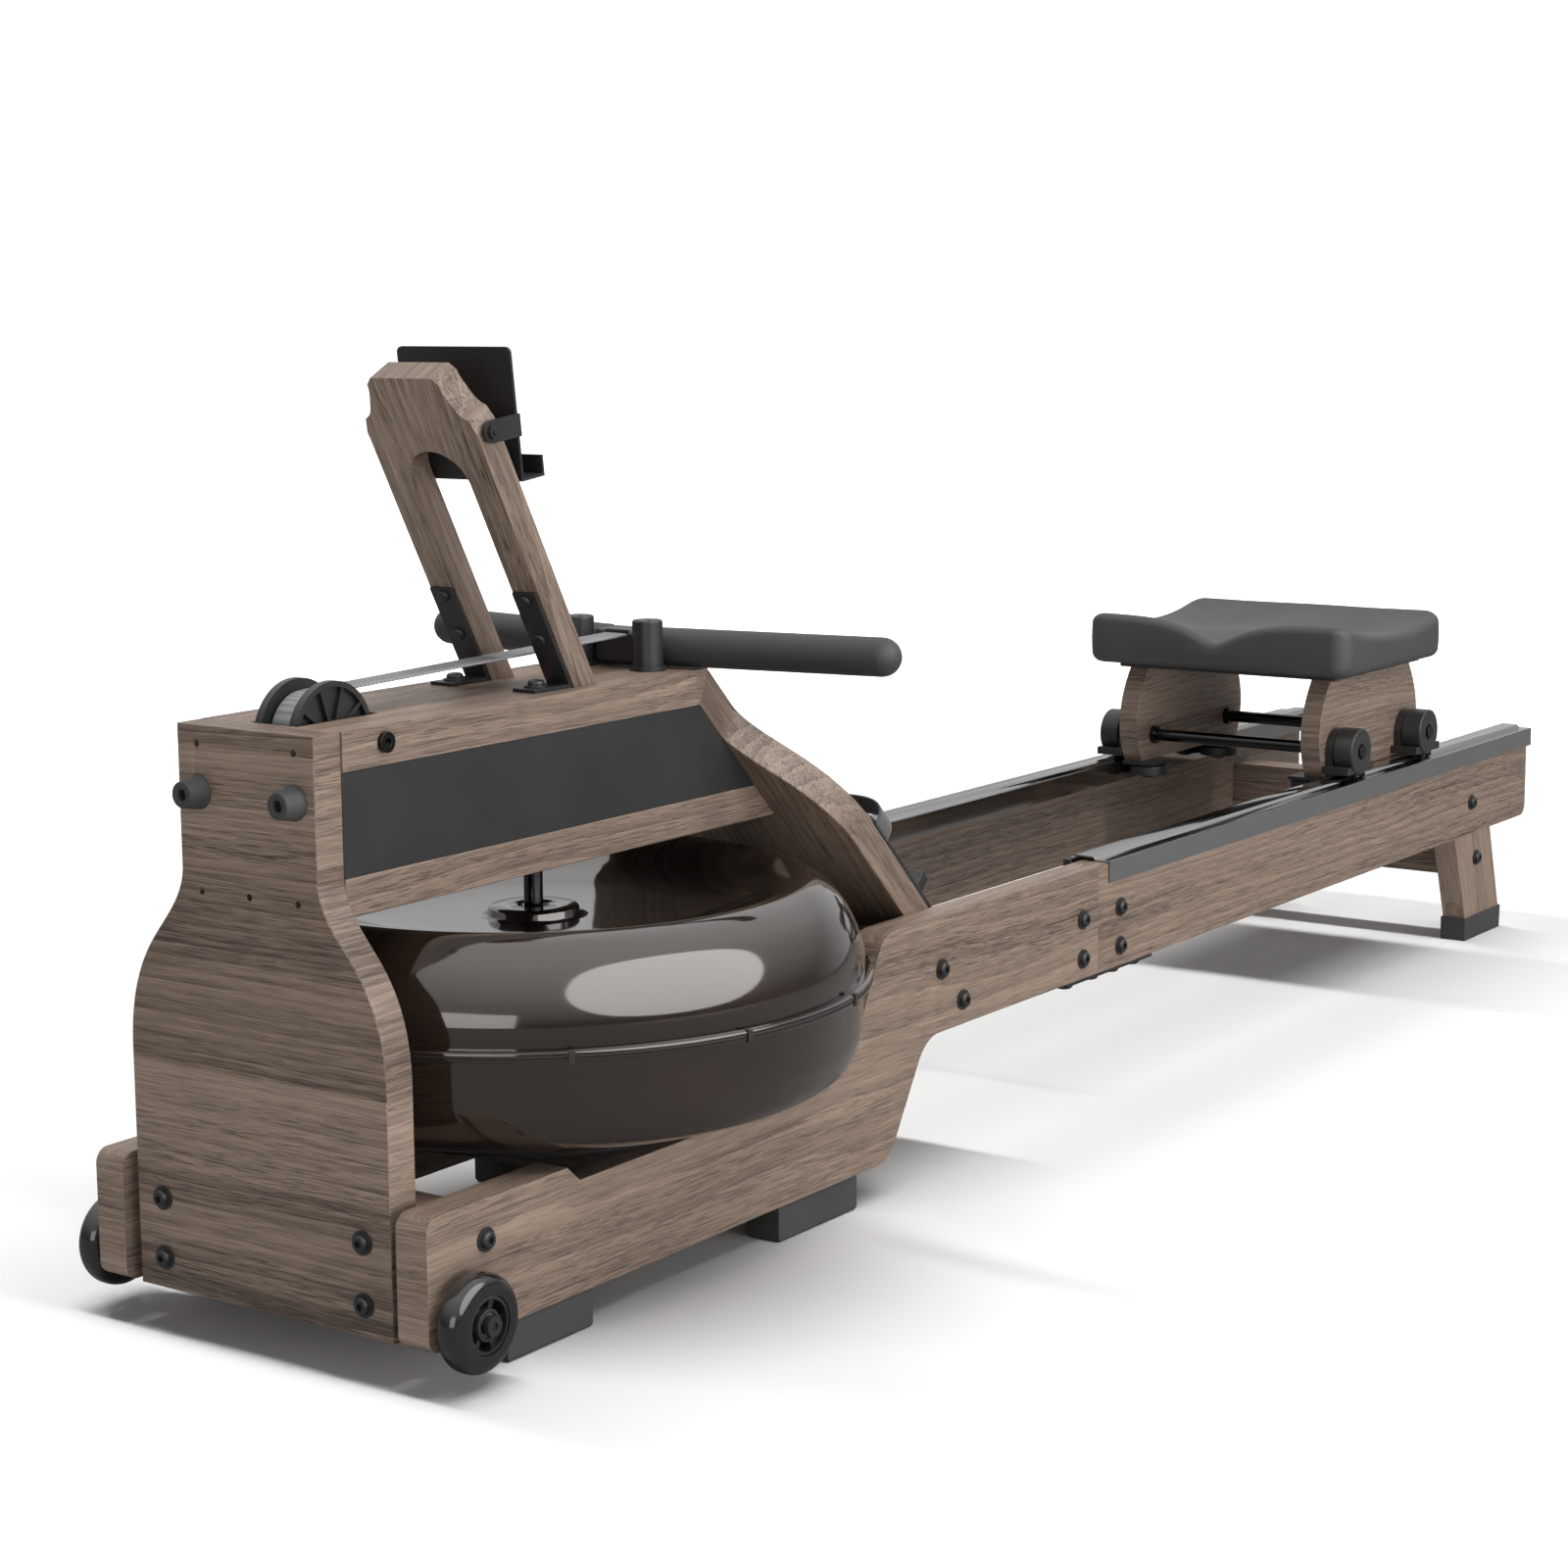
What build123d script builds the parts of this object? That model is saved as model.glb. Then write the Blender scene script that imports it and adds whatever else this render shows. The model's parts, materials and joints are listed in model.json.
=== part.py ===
from build123d import *
import os
from math import atan, cos, degrees, pi, radians, sin, sqrt, tan

# Water-tank rowing machine, in millimetres. While it is modelled, x runs from the front ends of the
# side boards (0) to the seat end, y is 0 on the middle plane and z is 0 on the floor. Each part is
# moved by -middle_x when it is written, so the origin is the middle of the footprint.
# "left" is -Y and "right" is +Y, as seen by a rower who sits on the seat and faces the tank.

# ---- driving dimensions ---------------------------------------------------------------------------
board = 30.0                # thickness of every wooden board
half_outer = 172.0          # middle plane to the outer faces of the side boards
half_inner = half_outer - board
rail_bottom = 33.0          # underside of the front side boards
rail_top = 136.0            # their low top edge, beside the tank
cradle_seat = 123.0         # the lowered top edge that carries the tank
deck_bottom = 133.0         # underside of the rear side boards
deck_top = 240.0
seam_x = 991.0              # where front and rear side boards meet
board_end_x = 2097.0
track_start_x = 1010.0
track_end_x = 2107.0
panel_front = 6.0           # front face of the front panel
panel_back = 34.0
tower_top = 481.0
tower_half = 72.0           # half the width of the tower boards
shelf_top = 371.0
belly_half = 132.0          # half the width of the front panel at the bottom
neck_half = 70.0            # and at the top
foot_rear_sum = 968.0       # the footboard's rear face is the plane x + z = this
tank_x = 336.0              # axis of the tank, the shaft and the drum
tank_radius = 283.0         # over the flange
flange_z = 233.0            # the plane where the two tank shells meet
tank_bottom = 145.0
pulley_x = 80.0
pulley_z = 468.0
post_front_x = 325.0        # front face of the tablet post where it meets the tower
post_tilt = 28.6            # degrees from upright, leaning forwards
seat_x = 1714.0             # middle of the seat carriage at rest
roller_gap = 190.0          # front roller axle to rear roller axle
roller_radius = 27.0
roller_z = 272.3
handle_x = 473.0            # handle axis on the middle plane
handle_z = 498.0
handle_sweep = 9.0          # degrees that each half of the handle is swept back
handle_radius = 16.5
wheel_radius = 38.0         # transport wheels
wheel_x = 36.0
wheel_z = 52.0
bumper_tip = -12.0
bolt_radius = 4.0
running = 0.05              # radial clearance of a running fit

foot_front_sum = foot_rear_sum - board * sqrt(2)
middle_x = (bumper_tip + track_end_x) / 2


# ---- helpers ----------------------------------------------------------------------------------------
def block(x0, x1, y0, y1, z0, z1):
    return Pos((x0 + x1) / 2, (y0 + y1) / 2, (z0 + z1) / 2) * Box(x1 - x0, y1 - y0, z1 - z0)


def rod(axis, x, y, z, radius, length):
    """A cylinder centred on x, y, z along the named axis."""
    turn = {"X": Rot(0, 90, 0), "Y": Rot(90, 0, 0), "Z": Rot(0, 0, 0)}[axis]
    return Pos(x, y, z) * turn * Cylinder(radius, length)


def slab(outline, y0, y1):
    """A face drawn in x and z, given a thickness from y0 to y1."""
    plane = Plane((0, y1, 0), x_dir=(1, 0, 0), z_dir=(0, -1, 0))
    return extrude(plane * outline, amount=y1 - y0)


def rounded(points, radii):
    """A polygon whose corners are rounded by their own radii; 0 leaves a corner sharp."""
    face = make_face(Polyline(*points, close=True))
    for point, radius in zip(points, radii):
        if radius > 0:
            corner = min(face.vertices(), key=lambda v: (Vector(v) - Vector(*point, 0)).length)
            face = fillet(corner, radius)
    return face


def turned(points, x, y=0.0):
    """A profile of radius and height turned about an upright axis at x, y."""
    face = Plane.XZ * make_face(Polyline(*points, close=True))
    return Pos(x, y, 0) * revolve(face, Axis.Z)


def mirror_y(shape):
    return mirror(shape, about=Plane.XZ)


def pair(shape):
    return [shape, mirror_y(shape)]


nodes = {}


def keep(name, *shapes):
    """Store one node; several shapes stay separate solids."""
    solids = [s for shape in shapes for s in shape.solids()]
    nodes[name] = solids


# ---- fasteners --------------------------------------------------------------------------------------
washer_radius, washer_height = 9.5, 1.6
head_radius, head_height = 7.0, 4.4
shank = 26.0                # how far a frame bolt's shank reaches into the wood


def bolt():
    """Button-head bolt with a washer, its seat at the origin and its head along +Z."""
    washer = Pos(0, 0, washer_height / 2) * Cylinder(washer_radius, washer_height)
    head = Pos(0, 0, washer_height + head_height / 2) * Cylinder(head_radius, head_height)
    head = fillet(head.edges().group_by(Axis.Z)[-1], 2.8)
    stem = Pos(0, 0, -shank / 2) * Cylinder(bolt_radius, shank)
    socket = extrude(RegularPolygon(2.9, 6), amount=3)
    return washer + head + stem - Pos(0, 0, washer_height + head_height - 3) * socket


def bolt_hole(depth=shank + 1):
    return Pos(0, 0, -depth / 2) * Cylinder(bolt_radius + running, depth)


def side_bolt_place(x, z, y=half_outer):
    return Pos(x, -y, z) * Rot(90, 0, 0)        # the bolt's +Z points to -Y


def front_bolt_place(y, z):
    return Pos(panel_front, y, z) * Rot(0, -90, 0)


front_board_bolts = [(65, 105), (702, 191), (738, 156), (960, 192), (960, 153)]
rear_board_bolts = [(1035, 192), (1035, 153), (1922, 172)]
leg_bolt = (1945, 100)
panel_bolts = [(y, z) for y in (-104, 104) for z in (58, 106)]

# ---- side boards ------------------------------------------------------------------------------------
front_outline = rounded(
    [(0, rail_bottom), (614, rail_bottom), (676, deck_bottom), (seam_x, deck_bottom),
     (seam_x, deck_top), (607, deck_top), (548, cradle_seat), (178, cradle_seat),
     (163, rail_top), (0, rail_top)],
    [12, 35, 40, 0, 0, 28, 75, 0, 0, 12])
front_board = slab(front_outline, -half_outer, -half_inner)
for x, z in front_board_bolts:
    front_board -= side_bolt_place(x, z) * bolt_hole(board + 20)
wheel_bolt_hole = rod("Y", wheel_x, -half_outer + board / 2, wheel_z, 5 + running, board + 2)
front_board -= wheel_bolt_hole
keep("side_board_front_left", front_board)
keep("side_board_front_right", mirror_y(front_board))

rear_outline = rounded(
    [(seam_x, deck_bottom), (board_end_x, deck_bottom), (board_end_x, deck_top), (seam_x, deck_top)],
    [0, 14, 0, 0])
rear_board = slab(rear_outline, -half_outer, -half_inner)
for x, z in rear_board_bolts:
    rear_board -= side_bolt_place(x, z) * bolt_hole(board + 20)
keep("side_board_rear_left", rear_board)
keep("side_board_rear_right", mirror_y(rear_board))

# ---- front panel: straight belly, then an S curve on each side up to a narrow neck --------------------
belly_top, neck_start = 222.0, 372.0


def panel_side(sign):
    foot = (sign * belly_half, belly_top)
    neck = (sign * neck_half, neck_start)
    middle = (sign * 107.5, 308)
    return Spline(foot, middle, neck, tangents=[(0, 1), (0, 1)], tangent_scalars=[1.1, 1.0])


def panel_face():
    left, right = panel_side(-1), panel_side(1)
    lines = [Line((-belly_half, rail_bottom), (-belly_half, belly_top)), left,
             Line((-neck_half, neck_start), (-neck_half, tower_top)),
             Line((-neck_half, tower_top), (neck_half, tower_top)),
             Line((neck_half, tower_top), (neck_half, neck_start)), right,
             Line((belly_half, belly_top), (belly_half, rail_bottom)),
             Line((belly_half, rail_bottom), (-belly_half, rail_bottom))]
    return make_face(Curve() + lines)


panel_plane = Plane((panel_front, 0, 0), x_dir=(0, 1, 0), z_dir=(1, 0, 0))
front_panel = extrude(panel_plane * panel_face(), amount=panel_back - panel_front)
front_edges = front_panel.edges().filter_by(lambda e: abs(e.center().X - panel_front) < 0.01)
front_panel = fillet(front_edges, 1.5)
screw_holes = [(y, 467) for y in (-49.5, 49.5)] + [(y, 354.5) for y in (-49.5, 0, 49.5)]
for y, z in screw_holes:
    front_panel -= rod("X", panel_front + 5, y, z, 2.8, 12)
for y, z in panel_bolts:
    front_panel -= front_bolt_place(y, z) * bolt_hole(panel_back + 10)
bumper_y, bumper_z = 49.0, 430.0
for y in (-bumper_y, bumper_y):
    front_panel -= rod("X", panel_front + 8, y, bumper_z, bolt_radius + running, 18)
keep("front_panel", front_panel)


def bumper():
    """Hollow rubber cone with its axis along +Z, held by a screw down its middle."""
    length = panel_front - bumper_tip
    cone = Pos(0, 0, length / 2) * Cone(13.5, 10, length)
    return cone - Pos(0, 0, length) * Cylinder(4.5, 16)


keep("bumpers", *[Pos(panel_front, y, bumper_z) * Rot(0, -90, 0) * bumper()
                  for y in (-bumper_y, bumper_y)])

# ---- tower: top board, shelf, slanted footboard and black side panels ---------------------------------
slot_half, slot_front, slot_rear = 24.0, 37.0, 127.0
top_outline = make_face(Polyline(
    (panel_back, tower_top - board), (foot_front_sum - tower_top + board, tower_top - board),
    (foot_rear_sum - tower_top, tower_top), (panel_back, tower_top), close=True))
top_board = slab(top_outline, -tower_half, tower_half)
top_board -= block(slot_front, slot_rear, -slot_half, slot_half, tower_top - board - 1, tower_top + 1)
axle_radius = 5.0
top_board -= rod("Y", pulley_x, 0, pulley_z, axle_radius + running, 2 * tower_half + 2)
bracket_bolts = [(293, -43), (293, 43)]
for x, y in bracket_bolts:
    top_board -= Pos(x, y, tower_top) * bolt_hole()
peg_x, peg_y = 449.0, 37.0
for y in (-peg_y, peg_y):
    top_board -= Pos(peg_x, y, tower_top) * bolt_hole()
keep("tower_top_board", top_board)

bearing_radius = 20.0
shelf_outline = make_face(Polyline(
    (panel_back, shelf_top - board), (foot_front_sum - shelf_top + board, shelf_top - board),
    (foot_front_sum - shelf_top, shelf_top), (panel_back, shelf_top), close=True))
shelf = slab(shelf_outline, -tower_half, tower_half) - rod("Z", tank_x, 0, shelf_top, bearing_radius, 80)
keep("tower_shelf_board", shelf)

side_panel_face = make_face(Polyline(
    (panel_back, shelf_top), (foot_front_sum - shelf_top, shelf_top),
    (foot_front_sum - tower_top + board, tower_top - board), (panel_back, tower_top - board), close=True))
side_panel = slab(side_panel_face, -tower_half + 1, -tower_half + 5)
keep("side_panels", *pair(side_panel))

# Footboard, drawn on its own rear face: a runs down the slope, b across.
slope_plane = Plane((foot_rear_sum - tower_top, 0, tower_top), x_dir=(1, 0, -1), z_dir=(1, 0, 1))
board_slope_length = 420.0
shoulder_start, shoulder_end = 50.0, 205.0


def footboard_face():
    def side(sign):
        start, end = (shoulder_start, sign * tower_half), (shoulder_end, sign * half_inner)
        return Spline(start, (120, sign * 113), end, tangents=[(1, 0), (1, 0)],
                      tangent_scalars=[0.9, 1.0])
    length = board_slope_length
    lines = [Line((0, -tower_half), (shoulder_start, -tower_half)), side(-1),
             Line((shoulder_end, -half_inner), (length, -half_inner)),
             Line((length, -half_inner), (length, half_inner)),
             Line((length, half_inner), (shoulder_end, half_inner)), side(1),
             Line((shoulder_start, tower_half), (0, tower_half)),
             Line((0, tower_half), (0, -tower_half))]
    return make_face(Curve() + lines)


footboard = extrude(slope_plane * footboard_face(), amount=-board)
mitre_lean = foot_rear_sum - foot_front_sum - board
mitre = Plane((foot_rear_sum - tower_top, 0, tower_top), x_dir=(0, 1, 0), z_dir=(board, 0, -mitre_lean))
footboard = split(footboard, mitre, keep=Keep.TOP)
keep("footboard", footboard)

# ---- cross bars ---------------------------------------------------------------------------------------
foot_bar = Plane((foot_front_sum - 173.5 - 0.5 - 23 * sqrt(2), 0, 173.5), x_dir=(1, 0, -1),
                 z_dir=(1, 0, 1)) * Box(96, 2 * half_inner, 45)
front_block = block(panel_back, 94, -half_inner, half_inner, 40, 120)
tank_bars = [block(x, x + 42, -half_inner, half_inner, cradle_seat - 30, cradle_seat)
             for x in (262, 390)]
for x, z in front_board_bolts[1:3]:
    for side_hole in pair(side_bolt_place(x, z) * bolt_hole(board + 20)):
        foot_bar -= side_hole
keep("front_crossbars", front_block, *tank_bars, foot_bar)

rear_bar = block(1905, 1940, -half_inner, half_inner, 148, 198)
leg_bar = block(1930, 1960, -half_inner, half_inner, 78, 130)
keep("rear_crossbars", rear_bar, leg_bar)

# ---- legs and feet ------------------------------------------------------------------------------------
cap_height = 28.0


def leg_front(z):
    return 1925.0 - 0.35 * z


def leg_rear(z):
    return 2030.0 - 0.32 * z


leg_outline = make_face(Polyline(
    (leg_front(8), 8), (leg_rear(8), 8), (leg_rear(deck_bottom), deck_bottom),
    (leg_front(deck_bottom), deck_bottom), close=True))
leg = slab(leg_outline, -half_outer + 1.5, -half_inner)
leg -= side_bolt_place(*leg_bolt, y=half_outer - 1.5) * bolt_hole()
keep("rear_legs", *pair(leg))


def cap():
    outer = make_face(Polyline((leg_front(cap_height) - 2.5, 0), (leg_rear(cap_height) + 0.5, 0),
                               (leg_rear(cap_height) + 2.5, cap_height),
                               (leg_front(cap_height) - 2.5, cap_height), close=True))
    return slab(outer, -half_outer - 0.5, -half_inner + 2) - leg


front_foot_spans = [(92, 195), (448, 567)]
front_feet = [block(x0, x1, -half_outer + 3, -half_inner + 8, 0, rail_bottom)
              for x0, x1 in front_foot_spans]
front_feet = [chamfer(foot.edges().group_by(Axis.Z)[0], 2) for foot in front_feet]
keep("rubber_feet", *[s for foot in front_feet + [cap()] for s in pair(foot)])

# ---- seam plates: upright steel plates inside the boards and flat ones under them -----------------------
inner_plate = block(930, 1065, -half_inner, -half_inner + 4, 138, 207)
under_plate = block(934, 1106, -half_outer + 2, -half_inner, deck_bottom - 4, deck_bottom)
under_bolt_x = (950, 1000, 1042, 1084)
for x in under_bolt_x:
    under_plate -= rod("Z", x, -157, deck_bottom, bolt_radius + running, 20)
for x in (960, 1035):
    for z in (153, 192):
        inner_plate -= side_bolt_place(x, z) * bolt_hole(60)
keep("joint_plates", *[s for plate in (inner_plate, under_plate) for s in pair(plate)])


def under_bolt(x):
    """Dome-head bolt under the seam plate."""
    head = Pos(0, 0, 2.5) * Cylinder(9, 5)
    return Pos(x, -157, deck_bottom - 4) * Rot(180, 0, 0) * fillet(
        head.edges().group_by(Axis.Z)[-1], 3.5)


# ---- tracks: a folded metal cap with a raised rib, an outer and an inner flange ---------------------------
track_wall = 2.0
track_outer = half_outer + track_wall
track_inner = 129.0
track_flat = deck_top + track_wall
rib_top = deck_top + 5.5         # the track rollers run 0.3 above it
track_section = make_face(Polyline(
    (-track_outer, deck_top - 20), (-half_outer, deck_top - 20), (-half_outer, deck_top),
    (-half_inner - 15, deck_top), (-half_inner - 13, deck_top + 3), (-half_inner + 6, deck_top + 3.5),
    (-half_inner + 9, deck_top), (-track_inner - track_wall, deck_top),
    (-track_inner - track_wall, deck_top - 21), (-track_inner, deck_top - 21),
    (-track_inner, track_flat), (-half_inner + 9, track_flat), (-half_inner + 6, rib_top),
    (-half_inner - 13, rib_top - 0.5), (-half_inner - 16, track_flat), (-track_outer, track_flat),
    close=True))
track_plane = Plane((track_start_x, 0, 0), x_dir=(0, 1, 0), z_dir=(1, 0, 0))
track = extrude(track_plane * track_section, amount=track_end_x - track_start_x)
keep("track_left", track)
keep("track_right", mirror_y(track))
stops = [block(x, x + 14, -track_inner, -track_inner + 12, deck_top - 18, deck_top - 2)
         for x in (track_start_x + 6, track_end_x - 22)]
stops = [fillet(stop.edges().filter_by(Axis.Z), 2) for stop in stops]
keep("track_end_stops", *[s for stop in stops for s in pair(stop)])

# ---- tank: two turned shells, a seal between their flanges and clips round the rim -------------------------
wall = 4.0
seal_half = 1.0
shoulder = 276.0


def turned_curve(edges, x):
    face = Plane.XZ * make_face(Curve() + edges)
    return Pos(x, 0, 0) * revolve(face, Axis.Z)


def upper_shell():
    bottom = flange_z + seal_half
    crest, dish, boss = 317.0, 290.0, 38.0
    outer = [Line((tank_radius, bottom), (tank_radius, bottom + 3)),
             Line((tank_radius, bottom + 3), (shoulder, bottom + 3)),
             Spline((shoulder, bottom + 3), (262, 292), (232, crest), (190, 308), (140, dish),
                    tangents=[(-0.05, 1), (-1, -0.1)]),
             Line((140, dish), (boss, dish - 6)),
             Line((boss, dish - 6), (boss, dish + 4)),
             Line((boss, dish + 4), (13, dish + 4)),
             Line((13, dish + 4), (13, dish - 6 - wall)),
             Line((13, dish - 6 - wall), (140, dish - wall)),
             Spline((140, dish - wall), (190, 308 - wall), (231, crest - wall), (259, 290),
                    (shoulder - wall, bottom), tangents=[(1, 0.1), (0.05, -1)]),
             Line((shoulder - wall, bottom), (tank_radius, bottom))]
    return turned_curve(outer, tank_x)


def lower_shell():
    top = flange_z - seal_half
    corner = 62.0
    side = shoulder - 1
    outer = [Line((tank_radius, top), (tank_radius, top - 3)),
             Line((tank_radius, top - 3), (side, top - 3)),
             Line((side, top - 3), (side - 1, tank_bottom + 46)),
             Spline((side - 1, tank_bottom + 46), (side - 16, tank_bottom + 14), (side - corner, tank_bottom),
                    tangents=[(0, -1), (-1, 0)]),
             Line((side - corner, tank_bottom), (0, tank_bottom)),
             Line((0, tank_bottom), (0, tank_bottom + wall)),
             Line((0, tank_bottom + wall), (side - corner, tank_bottom + wall)),
             Spline((side - corner, tank_bottom + wall), (side - 19, tank_bottom + 17),
                    (side - 1 - wall, tank_bottom + 46), tangents=[(1, 0), (0, 1)]),
             Line((side - 1 - wall, tank_bottom + 46), (side - wall, top)),
             Line((side - wall, top), (tank_radius, top))]
    return turned_curve(outer, tank_x)


keep("tank_upper_shell", upper_shell())
keep("tank_lower_shell", lower_shell())
seal = rod("Z", tank_x, 0, flange_z, tank_radius - 0.5, 2 * seal_half)
keep("tank_seal", seal - rod("Z", tank_x, 0, flange_z, shoulder - 2, 2 * seal_half + 2))

clip_count, clip_grip = 12, flange_z - seal_half - 3
clip_body = block(shoulder + 3.5, tank_radius + 1.2, -2.5, 2.5, clip_grip - 1.2, 2 * flange_z - clip_grip + 1.2)
clip_body -= block(shoulder, tank_radius, -5, 5, clip_grip, 2 * flange_z - clip_grip)
keep("tank_clips", *[Pos(tank_x, 0, 0) * Rot(0, 0, (k + 0.5) * 360 / clip_count) * clip_body
                     for k in range(clip_count)])

cradle_outer, cradle_inner = 165.0, 128.0
cradle = rod("Z", tank_x, 0, (cradle_seat + tank_bottom) / 2, cradle_outer, tank_bottom - cradle_seat)
keep("tank_cradle", cradle - rod("Z", tank_x, 0, cradle_seat, cradle_inner, 60))

# ---- rotor: upright shaft, paddles and strap drum; it turns about Z ---------------------------------------
shaft_radius = 8.0
drum_radius, drum_low, drum_high = 31.0, 388.0, 428.0
shaft = rod("Z", tank_x, 0, (tank_bottom + wall + 6 + drum_high + 8) / 2, shaft_radius,
            drum_high + 8 - tank_bottom - wall - 6)
keep("drive_shaft", shaft)
hub = rod("Z", tank_x, 0, 195, 24, 60) - rod("Z", tank_x, 0, 195, shaft_radius, 70)
blade = block(tank_x + 20, tank_x + 205, -2.5, 2.5, 168, 222)
blade = fillet(blade.edges().filter_by(Axis.Y).group_by(Axis.X)[-1], 18)
impeller = hub
for k in range(6):
    impeller += Pos(tank_x, 0, 0) * Rot(0, 0, 60 * k) * Pos(-tank_x, 0, 0) * blade
impeller -= rod("Z", tank_x, 0, 195, shaft_radius, 70)
keep("impeller", impeller)
drum = rod("Z", tank_x, 0, (drum_low + drum_high) / 2, drum_radius, drum_high - drum_low)
drum += rod("Z", tank_x, 0, drum_low + 1.5, drum_radius + 14, 3)
drum += rod("Z", tank_x, 0, drum_high - 1.5, drum_radius + 14, 3)
drum -= rod("Z", tank_x, 0, drum_low, shaft_radius + running, 120)
keep("strap_drum", drum)

# Water fills the tank to a little above the paddles; the space the paddles sweep is left free.
water_top = 219.0
water = turned([(0, tank_bottom + wall + 0.5), (shoulder - 66, tank_bottom + wall + 0.5),
                (shoulder - 20, tank_bottom + 22), (shoulder - 1 - wall - 1, tank_bottom + 48),
                (shoulder - 1 - wall - 1, water_top), (209, water_top), (209, 164), (0, 164)], tank_x)
water -= rod("Z", tank_x, 0, 165, shaft_radius + 1, 40)
keep("tank_water", water)

bearing = turned([(shaft_radius + running, shelf_top - board - 2), (bearing_radius, shelf_top - board - 2),
                  (bearing_radius, shelf_top), (bearing_radius + 6, shelf_top),
                  (bearing_radius + 6, shelf_top + 4), (shaft_radius + running, shelf_top + 4)], tank_x)
keep("shaft_bearing", bearing)

# Recoil spring: a flat spiral of half circles under the drum, with its outer end held by the tower.
strip, first_radius, pitch, turns = 1.0, 12.0, 2.4, 7


def spiral():
    shape = None
    for k in range(2 * turns):
        radius = first_radius + pitch * k / 2
        centre = tank_x + (pitch / 4 if k % 2 else -pitch / 4)
        ring = Cylinder(radius + strip / 2, 8) - Cylinder(radius - strip / 2, 10)
        side = 1 if k % 2 else -1
        ring = ring & Pos(0, side * 50, 0) * Box(200, 100, 20)
        piece = Pos(centre, 0, 381.5) * ring
        shape = piece if shape is None else shape + piece
    return shape


keep("recoil_spring", spiral())

# ---- pulley on its axle, and the strap --------------------------------------------------------------------
flange_radius, groove_radius, pulley_half = 42.5, 31.0, 21.0
pulley = rod("Y", pulley_x, 0, pulley_z, groove_radius, 2 * pulley_half)
groove_half = 14.0
for side in (-1, 1):
    flange_middle = side * (pulley_half + groove_half) / 2
    pulley += rod("Y", pulley_x, flange_middle, pulley_z, flange_radius, pulley_half - groove_half)
    pulley -= rod("Y", pulley_x, side * pulley_half, pulley_z, 38, 9)
    pulley += rod("Y", pulley_x, side * (pulley_half - 2.5), pulley_z, 13, 5)
    for k in range(10):
        rib = Pos(pulley_x, side * (pulley_half - 2.5), pulley_z) * Rot(0, 36 * k, 0) * Pos(25.5, 0, 0)
        pulley += rib * Box(27, 4, 2.4)
pulley -= rod("Y", pulley_x, 0, pulley_z, axle_radius + running, 60)
keep("pulley", pulley)
axle = rod("Y", pulley_x, 0, pulley_z, axle_radius, 2 * tower_half)
for side in (-1, 1):
    axle += rod("Y", pulley_x, side * (tower_half + 2), pulley_z, 8, 4)
    axle -= rod("Y", pulley_x, side * (tower_half + 3), pulley_z, 3, 4)
keep("pulley_axle", axle)

strap_width, strap_thick = 25.0, 2.0
strap_line = groove_radius + 0.3 + strap_thick / 2       # radius of the strap's middle on the pulley
strap_z = pulley_z + strap_line
strap_end_x, strap_end_z = 452.0, 510.0
strap_rise = degrees(atan((strap_end_z - strap_z) / (strap_end_x - pulley_x)))
strap_length = sqrt((strap_end_x - pulley_x) ** 2 + (strap_end_z - strap_z) ** 2)
strap_upper = Pos(pulley_x, 0, strap_z) * Rot(0, -strap_rise, 0) * Pos(
    strap_length / 2 + 1, 0, 0) * Box(strap_length - 2, strap_width, strap_thick)
keep("strap_upper", strap_upper)

wrap = rod("Y", pulley_x, 0, pulley_z, strap_line + strap_thick / 2, strap_width)
wrap -= rod("Y", pulley_x, 0, pulley_z, strap_line - strap_thick / 2, strap_width + 2)
wrap &= block(pulley_x - 60, pulley_x, -20, 20, pulley_z - 60, pulley_z + 60)
lower_z = pulley_z - strap_line
twist_start_x, twist_end_x = pulley_x + 34, tank_x - 6
flat_run = block(pulley_x, twist_start_x, -strap_width / 2, strap_width / 2,
                 lower_z - strap_thick / 2, lower_z + strap_thick / 2)
strap_cut = Rectangle(strap_width, strap_thick)
twist_start = Plane((twist_start_x, 0, lower_z), x_dir=(0, 1, 0), z_dir=(1, 0, 0))
twist_end = Plane((twist_end_x, -drum_radius - 2, (drum_low + drum_high) / 2), x_dir=(0, 0, 1),
                  z_dir=(1, 0, 0))
lower_run = loft([twist_start * strap_cut, twist_end * strap_cut])
keep("strap_lower", wrap + flat_run + lower_run)

# ---- handle: a tube bent into a shallow V, two foam grips and a centre clamp ---------------------------------
handle_half = 251.0
grip_start = 24.0


def handle_half_place(sign):
    """Its +Z runs outwards along one half of the handle."""
    turn = handle_sweep if sign > 0 else -handle_sweep
    return Pos(handle_x, 0, handle_z) * Rot(0, 0, -turn) * Rot(-90 * sign, 0, 0)


half_length = handle_half / cos(radians(handle_sweep))
bar_core = None
grips = []
for sign in (-1, 1):
    core = handle_half_place(sign) * Pos(0, 0, half_length / 2 - 8) * Cylinder(11, half_length - 16)
    bar_core = core if bar_core is None else bar_core + core
    body = Pos(0, 0, (grip_start + half_length) / 2) * Cylinder(handle_radius, half_length - grip_start)
    body = fillet(body.edges().group_by(Axis.Z)[-1], handle_radius - 0.5)
    body = fillet(body.edges().group_by(Axis.Z)[0], 3)
    body -= Pos(0, 0, half_length / 2 - 8) * Cylinder(11, half_length - 16)
    grips.append(handle_half_place(sign) * body)
bar_core += Pos(handle_x, 0, handle_z) * Sphere(11)
keep("handle_bar", bar_core)
keep("handle_grips", *grips)

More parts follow.
